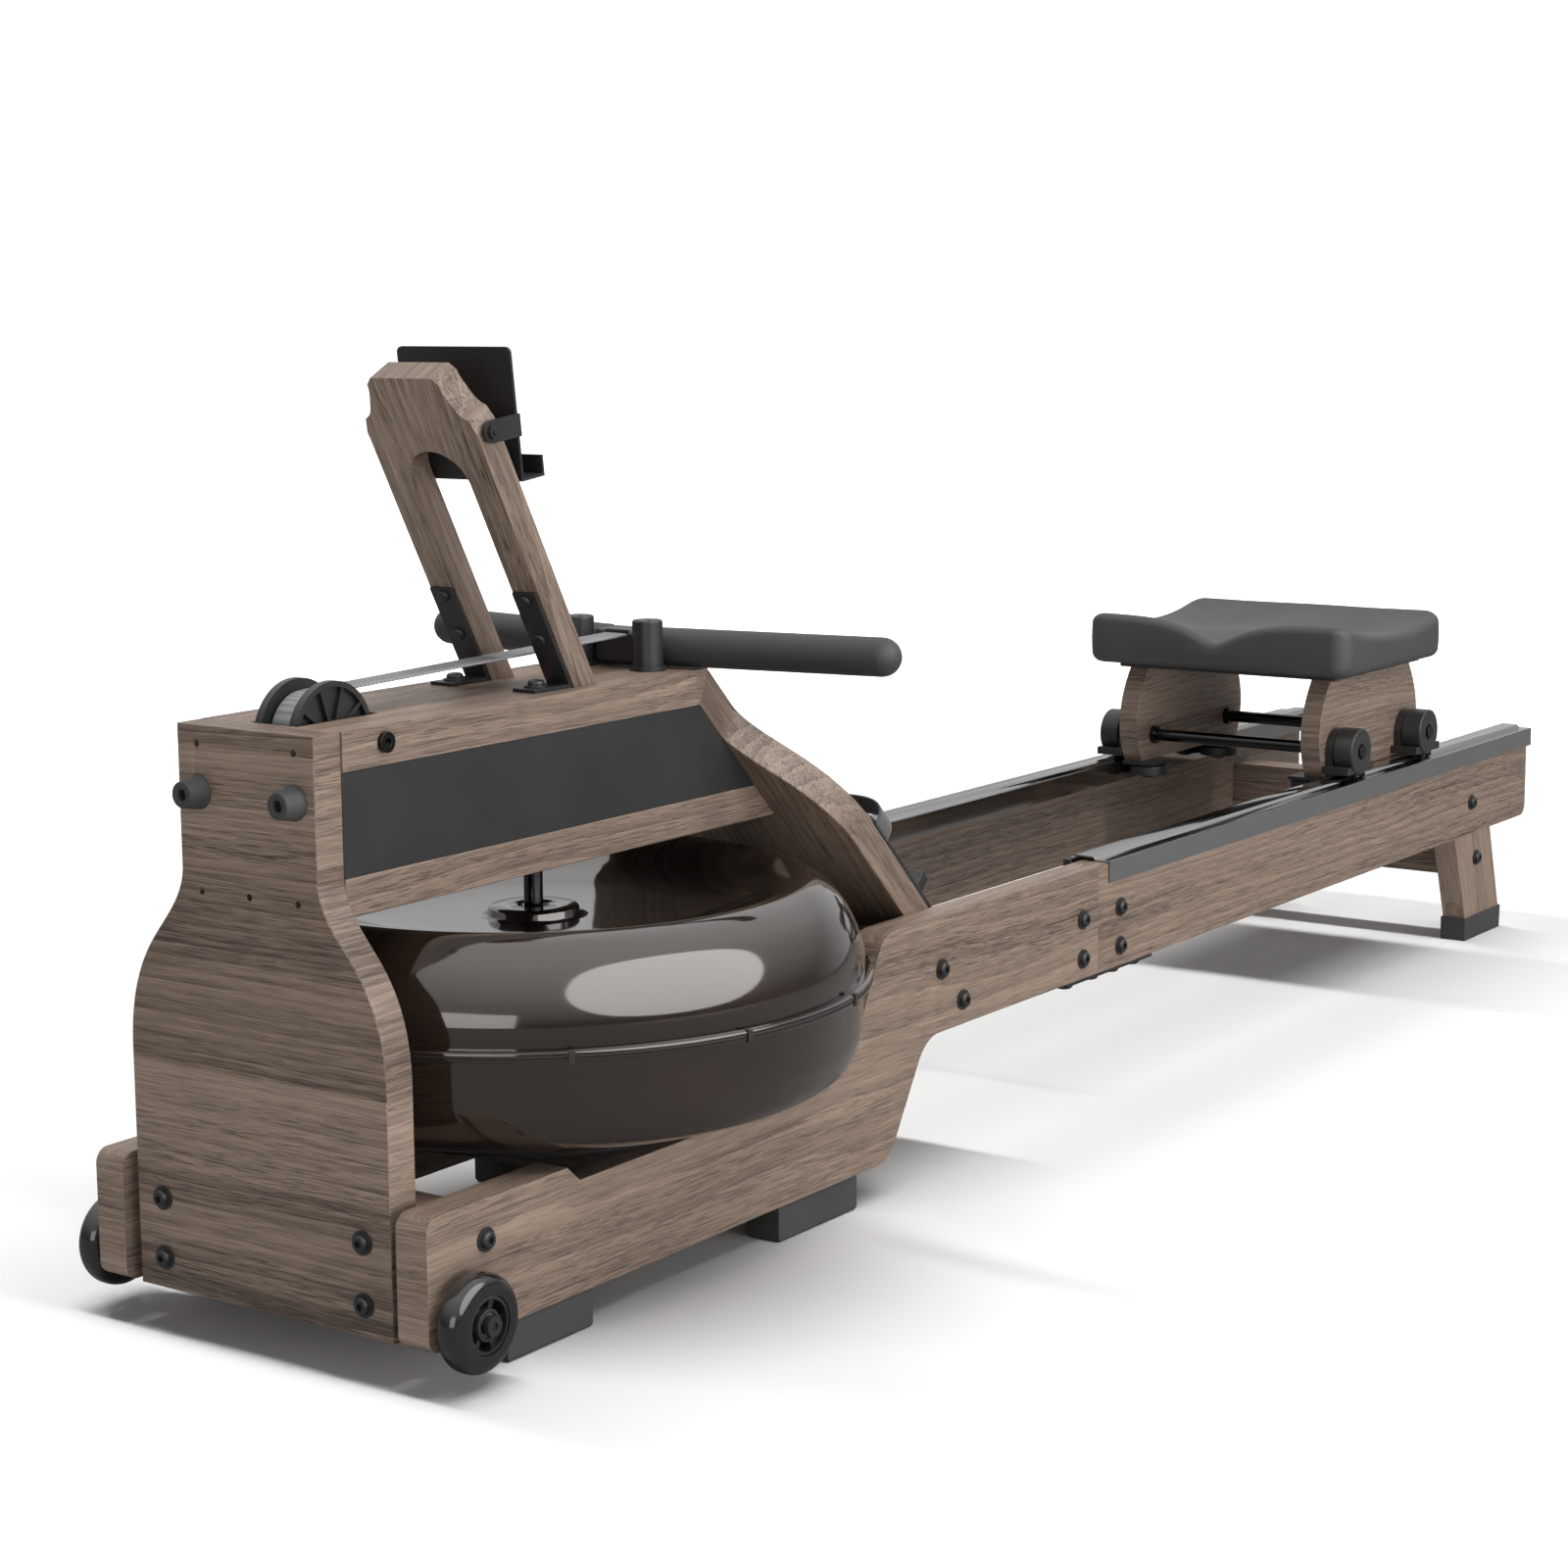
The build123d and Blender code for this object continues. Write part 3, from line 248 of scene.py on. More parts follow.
def setShader(shader, **values):
    for key, value in values.items():
        shader.inputs[key.replace("_", " ")].default_value = value


def bumpFrom(tree, shader, height, strength, distance):
    made = add(tree, "ShaderNodeBump", {"Height": height, "Strength": strength, "Distance": distance})
    tree.links.new(made.outputs[0], shader.inputs["Normal"])


# wood: one figure, turned to each board's own grain

woodLook = {
    # the colour at each value of the figure's tone
    "tones": [(0.33, (0.046, 0.031, 0.022)), (0.44, (0.128, 0.089, 0.065)),
              (0.52, (0.196, 0.141, 0.106)), (0.65, (0.290, 0.216, 0.164))],
    "pore": (0.022, 0.014, 0.011), "poreDepth": 0.80, "bumpDistance": 0.00035, "endFacing": 0.72,
}


def woodMaterial(name, grain, across, stave=0.6, offset=(0, 0, 0)):
    # grain and across are directions in the object's own axes; the third is their cross product
    made, tree, shader, place = startMaterial(name)
    grain, across = Vector(grain).normalized(), Vector(across).normalized()
    axes = (grain, across, grain.cross(across))
    lengths = [reachAlong(tree, place, axis) for axis in axes]
    inGrain = add(tree, "ShaderNodeCombineXYZ", dict(enumerate(lengths))).outputs[0]
    # on a board's end the lines run through its thickness, so grain and thickness change places
    normal = add(tree, "ShaderNodeTexCoord").outputs["Normal"]
    facing = reachAlong(tree, normal, grain)
    onEnd = calc(tree, "GREATER_THAN", calc(tree, "ABSOLUTE", facing), woodLook["endFacing"])
    swapped = add(tree, "ShaderNodeCombineXYZ", {0: lengths[2], 1: lengths[1], 2: lengths[0]}).outputs[0]
    inGrain = add(tree, "ShaderNodeMix", {0: onEnd, 4: inGrain, 5: swapped}, data_type="VECTOR").outputs[1]
    figure = add(tree, "ShaderNodeGroup", node_tree=woodFigure)
    tree.links.new(shifted(tree, inGrain, offset), figure.inputs["Vector"])
    figure.inputs["Stave"].default_value = stave
    colour = ramp(tree, figure.outputs["Tone"], woodLook["tones"])
    colour = mixColour(tree, calc(tree, "MULTIPLY", figure.outputs["Pores"], woodLook["poreDepth"]),
                       colour, (*woodLook["pore"], 1))
    tree.links.new(colour, shader.inputs["Base Color"])
    tree.links.new(figure.outputs["Rough"], shader.inputs["Roughness"])
    setShader(shader, IOR=1.46, Coat_Weight=0.10, Coat_Roughness=0.32)
    bumpFrom(tree, shader, figure.outputs["Height"], 0.55, woodLook["bumpDistance"])
    return made


slope = (1, 0, -1)
postTilt = radians(28.6)
postUp = (-sin(postTilt), 0, cos(postTilt))
railWood = woodMaterial("railWood", (1, 0, 0), (0, 0, 1))
rearRailWood = woodMaterial("rearRailWood", (1, 0, 0), (0, 0, 1), offset=(0.7, 0.31, 0.2))
panelWood = woodMaterial("panelWood", (0, 1, 0), (0, 0, 1), stave=0.083, offset=(2.1, 0, 0.4))
towerWood = woodMaterial("towerWood", (1, 0, 0), (0, 1, 0), offset=(3.3, 0.2, 0.9))
footboardWood = woodMaterial("footboardWood", slope, (0, 1, 0), stave=0.095, offset=(1.1, 0.4, 0.3))
crossbarWood = woodMaterial("crossbarWood", (0, 1, 0), (0, 0, 1), offset=(0.2, 1.4, 0))
legWood = woodMaterial("legWood", (0.32, 0, -1), (1, 0, 0.32), offset=(5.2, 0.3, 0.1))
seatWood = woodMaterial("seatWood", (1, 0, 0), (0, 0, 1), offset=(4.4, 0.7, 0.2))
postWood = woodMaterial("postWood", postUp, (0, 1, 0), offset=(6.1, 0.9, 0.6))


# plastics, rubber, metals

def mouldedMaterial(name, dark, light, rough, grainSize=900.0, depth=0.00006, coat=0.0):
    made, tree, shader, place = startMaterial(name)
    grainNode = add(tree, "ShaderNodeGroup", node_tree=mouldedGrain)
    tree.links.new(place, grainNode.inputs["Vector"])
    for label, value in (("Size", grainSize), ("Rough Low", rough[0]), ("Rough High", rough[1])):
        grainNode.inputs[label].default_value = value
    colour = mixColour(tree, grainNode.outputs["Tone"], (*dark, 1), (*light, 1))
    tree.links.new(colour, shader.inputs["Base Color"])
    tree.links.new(grainNode.outputs["Rough"], shader.inputs["Roughness"])
    setShader(shader, IOR=1.5, Coat_Weight=coat, Coat_Roughness=0.08)
    bumpFrom(tree, shader, grainNode.outputs["Height"], 0.5, depth)
    return made


blackPlastic = mouldedMaterial("blackPlastic", (0.012, 0.012, 0.013), (0.022, 0.022, 0.023), (0.30, 0.42))
panelPlastic = mouldedMaterial("panelPlastic", (0.018, 0.018, 0.019), (0.026, 0.026, 0.027), (0.28, 0.36),
                               grainSize=2200.0, depth=0.00001)
rollerPlastic = mouldedMaterial("rollerPlastic", (0.013, 0.013, 0.014), (0.024, 0.024, 0.025), (0.34, 0.46))
clampPlastic = mouldedMaterial("clampPlastic", (0.010, 0.010, 0.011), (0.026, 0.026, 0.027), (0.30, 0.44),
                               260.0, 0.0005)
rubber = mouldedMaterial("rubber", (0.020, 0.020, 0.021), (0.036, 0.036, 0.037), (0.62, 0.78),
                         700.0, 0.00012)
handleFoam = mouldedMaterial("handleFoam", (0.022, 0.022, 0.023), (0.034, 0.034, 0.035), (0.48, 0.58),
                             1500.0, 0.00008)
seatSkin = mouldedMaterial("seatSkin", (0.032, 0.033, 0.034), (0.046, 0.047, 0.049), (0.50, 0.60),
                           1300.0, 0.00010)
tyreGloss = mouldedMaterial("tyreGloss", (0.008, 0.008, 0.009), (0.014, 0.014, 0.015), (0.09, 0.15),
                            500.0, 0.00002, coat=0.5)
blackSteel = mouldedMaterial("blackSteel", (0.011, 0.011, 0.012), (0.020, 0.020, 0.021), (0.30, 0.42),
                             2600.0, 0.00004)


def metalMaterial(name, dark, light, rough, stretch):
    # brushed metal: a noise drawn out along one axis changes colour and roughness a little
    made, tree, shader, place = startMaterial(name)
    lines = noise(tree, scaled(tree, place, stretch), detail=3)
    tree.links.new(mixColour(tree, lines, (*dark, 1), (*light, 1)), shader.inputs["Base Color"])
    tree.links.new(span(tree, lines, 0.3, 0.7, rough[0], rough[1]), shader.inputs["Roughness"])
    setShader(shader, Metallic=1.0)
    bumpFrom(tree, shader, lines, 0.2, 0.00002)
    return made


steel = metalMaterial("steel", (0.42, 0.42, 0.43), (0.60, 0.60, 0.61), (0.20, 0.32), (40, 900, 900))
darkRod = metalMaterial("darkRod", (0.030, 0.030, 0.032), (0.055, 0.055, 0.057), (0.12, 0.20),
                        (900, 25, 900))
castHub = metalMaterial("castHub", (0.16, 0.16, 0.165), (0.26, 0.26, 0.27), (0.25, 0.38), (700, 700, 700))


trackLook = {
    "outerStart": 0.1722, "polishDark": (0.28, 0.28, 0.285), "polishLight": (0.40, 0.40, 0.405),
    "paintDark": (0.095, 0.097, 0.100), "paintLight": (0.125, 0.127, 0.130),
    "polishRough": (0.05, 0.09), "paintRougher": 0.30, "paintLessMetal": 0.75,
}


def trackMaterial():
    # polished dark metal on top and inside, satin grey paint on the outer flange
    made, tree, shader, place = startMaterial("trackMetal")
    parts = add(tree, "ShaderNodeSeparateXYZ", {0: place})
    outside = calc(tree, "GREATER_THAN", calc(tree, "ABSOLUTE", parts.outputs[1]), trackLook["outerStart"])
    lines = noise(tree, scaled(tree, place, (12, 900, 900)), detail=3)
    polish = mixColour(tree, lines, (*trackLook["polishDark"], 1), (*trackLook["polishLight"], 1))
    paint = mixColour(tree, lines, (*trackLook["paintDark"], 1), (*trackLook["paintLight"], 1))
    tree.links.new(mixColour(tree, outside, polish, paint), shader.inputs["Base Color"])
    polished = span(tree, lines, 0.3, 0.7, *trackLook["polishRough"])
    rougher = calc(tree, "MULTIPLY", outside, trackLook["paintRougher"])
    tree.links.new(calc(tree, "ADD", polished, rougher), shader.inputs["Roughness"])
    lessMetal = calc(tree, "MULTIPLY", outside, trackLook["paintLessMetal"])
    tree.links.new(calc(tree, "SUBTRACT", 1.0, lessMetal), shader.inputs["Metallic"])
    return made


trackMetal = trackMaterial()


def webbingMaterial(name, dark, light, pitch):
    made, tree, shader, place = startMaterial(name)
    weave = add(tree, "ShaderNodeGroup", node_tree=ribbedWebbing)
    tree.links.new(place, weave.inputs["Vector"])
    weave.inputs["Pitch"].default_value = pitch
    # painted highlight and shade: the weave's tone puts the light colour on the rib crests and the dark one
    # in the grooves, mixed with random fuzz
    colour = mixColour(tree, weave.outputs["Tone"], (*dark, 1), (*light, 1))
    tree.links.new(colour, shader.inputs["Base Color"])
    setShader(shader, Roughness=0.75, Sheen_Weight=0.25)
    bumpFrom(tree, shader, weave.outputs["Height"], 0.7, 0.0004)
    return made


# between each band's dark and light colours lie its random tone, its painted groove shade and its painted
# rib-crest highlight
strapWeb = webbingMaterial("strapWeb", (0.055, 0.055, 0.058), (0.27, 0.27, 0.28), 0.009)
footWeb = webbingMaterial("footWeb", (0.012, 0.012, 0.013), (0.035, 0.035, 0.037), 0.005)


def tankMaterial(name, alpha, rough, coat):
    # smoky polished plastic: nearly black, a little see-through, with a faint slow change in tint
    made, tree, shader, place = startMaterial(name)
    slow = noise(tree, place, scale=6.0, detail=2)
    tree.links.new(mixColour(tree, slow, (0.010, 0.0065, 0.005, 1), (0.022, 0.014, 0.010, 1)),
                   shader.inputs["Base Color"])
    tree.links.new(span(tree, slow, 0.3, 0.7, rough, rough + 0.02), shader.inputs["Roughness"])
    setShader(shader, IOR=1.58, Alpha=alpha, Coat_Weight=coat, Coat_Roughness=0.05, Coat_IOR=1.6,
              Specular_Tint=(1.0, 0.88, 0.80, 1))
    return made


tankSmoke = tankMaterial("tankSmoke", 0.92, 0.09, 0.9)
tankBase = tankMaterial("tankBase", 0.96, 0.07, 0.9)


def clearMaterial(name, colour, rough, through):
    made, tree, shader, place = startMaterial(name)
    slow = noise(tree, place, scale=30.0, detail=2)
    tree.links.new(span(tree, slow, 0.3, 0.7, rough, rough + 0.06), shader.inputs["Roughness"])
    setShader(shader, Base_Color=(*colour, 1), IOR=1.45, Transmission_Weight=through)
    return made


clearWater = clearMaterial("waterLook", (0.25, 0.30, 0.32), 0.03, 0.6)
print("materials ready")


# CAD nodes carried over with broken edges

def softened(nodeName, width, material, segments=2, angle=32):
    # A copy of the node: its loose triangles are merged and flat faces joined, then every edge sharper
    # than the angle gets a small round.
    mesh = bpy.data.meshes.new(nodeName + "_finish")
    work = bmesh.new()
    work.from_mesh(cad[nodeName].data)
    bmesh.ops.remove_doubles(work, verts=work.verts, dist=0.000004)
    bmesh.ops.dissolve_limit(work, angle_limit=radians(0.4), verts=work.verts, edges=work.edges)
    work.to_mesh(mesh)
    work.free()
    mesh.materials.clear()
    mesh.materials.append(material)
    piece = bpy.data.objects.new(nodeName + "_look", mesh)
    bpy.context.scene.collection.objects.link(piece)
    mesh.shade_smooth()
    mesh.set_sharp_from_angle(angle=radians(angle))
    if width > 0:
        bevel = piece.modifiers.new("edges", "BEVEL")
        bevel.limit_method = "ANGLE"
        bevel.angle_limit = radians(angle)
        bevel.width = width
        bevel.segments = segments
        bevel.harden_normals = True
    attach(piece, bodyOf(nodeName))
    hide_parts(nodeName)
    return piece


# each material's edge round in metres, and the nodes that wear it
edgeRounds = {
    railWood: (0.0016, ["side_board_front_left", "side_board_front_right"]),
    rearRailWood: (0.0016, ["side_board_rear_left", "side_board_rear_right"]),
    panelWood: (0.0004, ["front_panel"]),
    towerWood: (0.0012, ["tower_top_board", "tower_shelf_board"]),
    footboardWood: (0.0014, ["footboard"]),
    crossbarWood: (0.0014, ["front_crossbars", "rear_crossbars"]),
    legWood: (0.0014, ["rear_legs"]),
    seatWood: (0.0016, ["seat_side_plates"]),
    postWood: (0.0015, ["tablet_post"]),
    panelPlastic: (0.0005, ["side_panels"]),
    blackPlastic: (0.0006, ["footplates", "heel_rest_left", "heel_rest_right", "pulley", "strap_drum",
                            "handle_pegs", "impeller", "tank_clips"]),
    clampPlastic: (0.0006, ["handle_clamp"]),
    rollerPlastic: (0.0006, ["guide_roller_front_left", "guide_roller_front_right",
                             "guide_roller_rear_left", "guide_roller_rear_right",
                             "track_roller_front_left", "track_roller_front_right",
                             "track_roller_rear_left", "track_roller_rear_right"]),
    rubber: (0.0010, ["rubber_feet", "bumpers", "track_end_stops", "tank_seal"]),
    blackSteel: (0.0004, ["joint_plates", "frame_bolts", "post_brackets", "tablet_holder", "seat_base",
                          "carriage_brackets", "tank_cradle", "shaft_bearing"]),
    darkRod: (0.0004, ["seat_rods", "pulley_axle", "drive_shaft"]),
    steel: (0.0, ["recoil_spring", "handle_bar"]),
    trackMetal: (0.0004, ["track_left", "track_right"]),
    clearWater: (0.0, ["tank_water"]),
    strapWeb: (0.0, ["strap_lower"]),
}
for material, (width, names) in edgeRounds.items():
    for name in names:
        softened(name, width, material)
print("boards and hardware finished")


# surfaces from whole arrays

def surface(name, points, material, body, closeAround=True, capped=False, smooth=40):
    # points is an array of rows x columns x 3; the columns run round, the rows run along.
    # Capped ends are each closed with one face over the whole row. A piece without a body rides nothing.
    rows, columns = points.shape[:2]
    row, column = np.meshgrid(np.arange(rows - 1), np.arange(columns if closeAround else columns - 1),
                              indexing="ij")
    nextColumn = (column + 1) % columns
    corners = np.stack([row * columns + column, row * columns + nextColumn,
                        (row + 1) * columns + nextColumn, (row + 1) * columns + column], axis=-1)
    faces = corners.reshape(-1, 4).tolist()
    if capped:
        faces.append(list(range(columns - 1, -1, -1)))
        faces.append(list(range((rows - 1) * columns, rows * columns)))
    mesh = bpy.data.meshes.new(name)
    mesh.from_pydata(points.reshape(-1, 3).tolist(), [], faces)
    work = bmesh.new()
    work.from_mesh(mesh)
    bmesh.ops.remove_doubles(work, verts=work.verts, dist=0.000002)
    bmesh.ops.recalc_face_normals(work, faces=work.faces)
    work.to_mesh(mesh)
    work.free()
    mesh.materials.append(material)
    mesh.shade_smooth()
    mesh.set_sharp_from_angle(angle=radians(smooth))
    piece = bpy.data.objects.new(name, mesh)
    bpy.context.scene.collection.objects.link(piece)
    if body:
        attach(piece, body)
    return piece


def throughPoints(points, steps):
    # Catmull-Rom curve through the points: each span is the cubic whose end slopes are half the
    # differences of its neighbours
    points = np.array(points, float)
    padded = np.vstack([2 * points[0] - points[1], points, 2 * points[-1] - points[-2]])
    share = np.linspace(0, 1, steps, endpoint=False)[:, None]
    spans = []
    for p, q, r, s in zip(padded[:-3], padded[1:-2], padded[2:-1], padded[3:]):
        spans.append(0.5 * (2 * q + (r - p) * share + (2 * p - 5 * q + 4 * r - s) * share ** 2
                            + (3 * q - p - 3 * r + s) * share ** 3))
    return np.vstack(spans + [points[-1:]])


def turned(name, profile, centre, axis, material, body, steps=96, smooth=40):
    # profile rows are radius and distance along the axis; each is carried round a full circle, and the
    # last joins the first
    axis = Vector(axis).normalized()
    side = axis.orthogonal().normalized()
    up = axis.cross(side)
    profile = np.array(profile, float)
    profile = np.vstack([profile, profile[:1]])
    turn = np.linspace(0, 2 * pi, steps, endpoint=False)
    ring = np.cos(turn)[:, None] * np.array(side) + np.sin(turn)[:, None] * np.array(up)
    points = (np.array(centre) + profile[:, None, :1] * ring[None] + profile[:, None, 1:] * np.array(axis))
    return surface(name, points, material, body, smooth=smooth)


def roundedProfile(inner, outer, low, high, radius, steps=6):
    # a ring's cut: a rectangle between two radii whose two outer corners are quarter circles
    bend = np.linspace(0, pi / 2, steps)
    lowCorner = np.stack([outer - radius + radius * np.sin(bend),
                          low + radius - radius * np.cos(bend)], 1)
    highCorner = np.stack([outer - radius + radius * np.cos(bend),
                           high - radius + radius * np.sin(bend)], 1)
    return np.vstack([[(inner, low)], lowCorner, highCorner, [(inner, high)]])


# water tank

tankLook = {
    "wall": 0.004, "shoulder": 0.276, "flangeThick": 0.003, "flangeRound": 0.0006,
    "upperOuter": [(0.2762, 0.003), (0.2755, 0.024), (0.267, 0.048), (0.2525, 0.069), (0.231, 0.0825),
                   (0.203, 0.078), (0.168, 0.063), (0.138, 0.0555), (0.100, 0.0525), (0.040, 0.0515)],
    "bossRadius": 0.038, "bossTop": 0.060, "bossRound": 0.002, "hole": 0.013, "holeRound": 0.001,
    "bossFoot": 0.0535, "holeFoot": 0.047, "uprightBelow": 0.055, "rowsInBoss": 9,
    "lowerOuter": [(0.275, -0.003), (0.2745, -0.030), (0.2725, -0.050), (0.263, -0.071), (0.240, -0.084),
                   (0.205, -0.0878)],
    "footRadius": 0.205,
    "sides": 224,
}
tankMiddle = middleOf("tank_upper_shell")
upperLow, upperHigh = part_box("tank_upper_shell")
lowerLow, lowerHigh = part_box("tank_lower_shell")
flangeRadius = (upperHigh[0] - upperLow[0]) / 2
tankFoot = (tankMiddle.x, tankMiddle.y, upperLow[2])
tankBelly = (tankMiddle.x, tankMiddle.y, lowerHigh[2])

outer = throughPoints(tankLook["upperOuter"], 10)
wall, flange, flangeRound = tankLook["wall"], tankLook["flangeThick"], tankLook["flangeRound"]
bossOut, bossTop, bossRound = tankLook["bossRadius"], tankLook["bossTop"], tankLook["bossRound"]
hole, holeRound = tankLook["hole"], tankLook["holeRound"]
innerShoulder = tankLook["shoulder"] - wall
# the inner wall is the outer one lowered by the wall, and upright where it comes down at the shoulder
wallIn = outer[::-1] - np.array([0.0, wall])
wallIn[:, 0] = np.where(wallIn[:, 1] < tankLook["uprightBelow"], np.minimum(wallIn[:, 0], innerShoulder),
                        wallIn[:, 0])
upperProfile = np.vstack([
    [(flangeRadius, 0.0), (flangeRadius, flange - flangeRound), (flangeRadius - flangeRound, flange)],
    outer,
    [(bossOut, tankLook["bossFoot"]), (bossOut, bossTop - bossRound), (bossOut - bossRound, bossTop),
     (hole + holeRound, bossTop), (hole, bossTop - holeRound), (hole, tankLook["holeFoot"])],
    wallIn[:-tankLook["rowsInBoss"]],
    [(innerShoulder, wall), (innerShoulder, 0.0)],
])
upperShell = turned("tankUpperShell", upperProfile, tankFoot, (0, 0, 1), tankSmoke, "frame",
                    steps=tankLook["sides"], smooth=50)
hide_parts("tank_upper_shell")

belly = throughPoints(tankLook["lowerOuter"], 8)
bottom = lowerLow[2] - lowerHigh[2]
belly = np.vstack([belly[:-1], [(tankLook["footRadius"], bottom), (0.0, bottom)]])
inside = np.stack([belly[:-2, 0] - wall, np.maximum(belly[:-2, 1], bottom + wall)], 1)
lowerProfile = np.vstack([
    [(flangeRadius - flangeRound, -flange), (flangeRadius, flangeRound - flange), (flangeRadius, 0.0),
     (belly[0, 0] - wall, 0.0)],
    inside, [(0.0, bottom + wall)], belly[::-1],
])
lowerShell = turned("tankLowerShell", lowerProfile, tankBelly, (0, 0, 1), tankBase, "frame",
                    steps=tankLook["sides"], smooth=50)
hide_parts("tank_lower_shell")
print("tank ready")


# transport wheels: tyre, rim lip, spokes, hub and bearing

wheelLook = {
    "rimRadius": 0.0225, "tyreRound": 0.010,
    # each ring's inner and outer radius, how far its faces lie behind the tyre's, its edge round,
    # its material and its sides
    "rings": {"rim": (0.0195, 0.0224, 0.0008, 0.001, blackPlastic, 64),
              "hub": (0.0096, 0.0125, 0.001, 0.001, blackPlastic, 48),
              "bearing": (0.0052, 0.0095, 0.002, 0.0006, castHub, 48)},
    # each spoke's inner and outer end: its distance from the axle, and its width as a share
    "spokes": 6, "spokeEnds": ((0.0115, 1.0), (0.0205, 1.5)), "spokeWidth": 0.0042, "spokeDepth": 0.006,
}
for side in ("left", "right"):
    body = bodyOf("wheel_" + side)
    centre = middleOf("wheel_" + side)
    low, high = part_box("wheel_" + side)
    radius, half = (high[0] - low[0]) / 2, (high[1] - low[1]) / 2
    tyreCut = roundedProfile(wheelLook["rimRadius"], radius, -half, half, wheelLook["tyreRound"], 10)
    tyre = turned(f"tyre_{side}", tyreCut, centre, (0, 1, 0), tyreGloss, body, 96)
    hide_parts("wheel_" + side)
    for ring, (ringIn, ringOut, behind, edgeRound, material, sides) in wheelLook["rings"].items():
        cut = roundedProfile(ringIn, ringOut, -half + behind, half - behind, edgeRound, 3)
        turned(f"{ring}_{side}", cut, centre, (0, 1, 0), material, body, sides)
    # each spoke is a tapered bar from hub to rim
    turn = np.arange(wheelLook["spokes"]) * 2 * pi / wheelLook["spokes"]
    for number, angle in enumerate(turn):
        along = np.array([cos(angle), 0, sin(angle)])
        across = np.array([-sin(angle), 0, cos(angle)])
        wide, deep = wheelLook["spokeWidth"] / 2, wheelLook["spokeDepth"]
        corner = np.array([(-1, -1), (1, -1), (1, 1), (-1, 1)], float)
        ends = []
        for reach, grow in wheelLook["spokeEnds"]:
            ends.append(np.array(centre) + reach * along + corner[:, :1] * wide * grow * across
                        + corner[:, 1:] * deep * np.array([0, 1, 0]))
        surface(f"spoke_{side}_{number}", np.array(ends), blackPlastic, body, capped=True, smooth=30)
print("wheels ready")


# handle grips: a foam tube along each swept half, with a domed end

gripLook = {"sweep": 9.0, "radius": 0.0165, "bore": 0.0112, "boreEnd": 0.02, "start": 0.024,
            "shoulder": 0.003, "half": 0.251, "domeGap": 0.0006, "rows": 30}
handleLow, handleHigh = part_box("handle_bar")
handleMiddle = Vector((handleLow[0] + 0.011, 0, (handleLow[2] + handleHigh[2]) / 2))
for side, sign in (("left", -1), ("right", 1)):
    sweep = radians(gripLook["sweep"])
    axis = Vector((sin(sweep), sign * cos(sweep), 0))
    length = gripLook["half"] / cos(sweep) - gripLook["domeGap"]
    radius, small, start = gripLook["radius"], gripLook["shoulder"], gripLook["start"]
    bore, boreEnd = gripLook["bore"], length - gripLook["boreEnd"]
    bend = np.linspace(0, pi / 2, 12)
    startRound = np.stack([radius - small + small * np.sin(bend), start + small - small * np.cos(bend)], 1)
    tube = np.stack([np.full(gripLook["rows"], radius),
                     np.linspace(start + 2 * small, length - radius - 0.002, gripLook["rows"])], 1)
    dome = np.stack([radius * np.cos(bend), length - radius + radius * np.sin(bend)], 1)
    profile = np.vstack([[(bore, start)], startRound, tube, dome, [(0.0, boreEnd), (bore, boreEnd)]])
    grip = turned(f"grip_{side}", profile, handleMiddle, axis, handleFoam, "handle", 64)
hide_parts("handle_grips")
print("handle ready")


# drive strap: a flat band with raised cross ribs, stretched between pulley and handle

strapLook = {
    "width": 0.025, "thick": 0.0020, "ribPitch": 0.0045, "ribHeight": 0.0005, "ribPower": 0.6,
    "ribSwell": 0.9, "samples": 620, "sides": 24, "facePower": 0.25, "edgePower": 0.6,
    "start": 0.001, "inset": 0.0016, "sink": 0.0003,
}
pulleyMiddle = middleOf("pulley")
strapLow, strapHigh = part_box("strap_upper")
startX, endX = pulleyMiddle.x - strapLook["start"], strapHigh[0]
startZ, endZ = strapLow[2] + strapLook["inset"], strapHigh[2] - strapLook["inset"]
share = np.linspace(0, 1, strapLook["samples"])
lineX = startX + (endX - startX) * share
lineZ = startZ + (endZ - startZ) * share
ribTurn = pi * (lineX - startX) / strapLook["ribPitch"]
rib = strapLook["ribHeight"] * np.abs(np.sin(ribTurn)) ** strapLook["ribPower"]
halfWide, halfThick = strapLook["width"] / 2, strapLook["thick"] / 2
edge = np.linspace(0, 2 * pi, strapLook["sides"], endpoint=False)
# the band's cut is a superellipse: flat on both faces, rounded at both edges
cutY = halfWide * np.sign(np.cos(edge)) * np.abs(np.cos(edge)) ** strapLook["facePower"]
cutZ = halfThick * np.sign(np.sin(edge)) * np.abs(np.sin(edge)) ** strapLook["edgePower"]
points = np.zeros((len(share), len(edge), 3))
points[..., 0] = lineX[:, None]
points[..., 1] = cutY[None]
swell = 1 + rib[:, None] / halfThick * strapLook["ribSwell"]
points[..., 2] = lineZ[:, None] + cutZ[None] * swell - strapLook["sink"]
strap = surface("driveStrap", points, strapWeb, None, capped=True, smooth=60)
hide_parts("strap_upper")
print("strap ready")


# seat cushion: moulded foam with a saddle, two hollows and a notch in the front edge

seatLook = {
    "corner": 0.022, "topRound": 0.010, "bottomRound": 0.012,
    "sideLow": 0.0235, "frontCornerDrop": 0.004, "rearDrop": 0.008, "lowPlace": 0.57,
    "notchDrop": 0.031, "notchReach": 0.28, "notchWidth": 0.26, "notchPower": 1.4,
    "hollowDepth": 0.006, "hollowPlace": (0.62, 0.46), "hollowReach": (0.24, 0.27),
    "margin": 0.0008, "pointSpacing": 0.009, "wallRows": 7, "wallBulge": 0.0006,
}


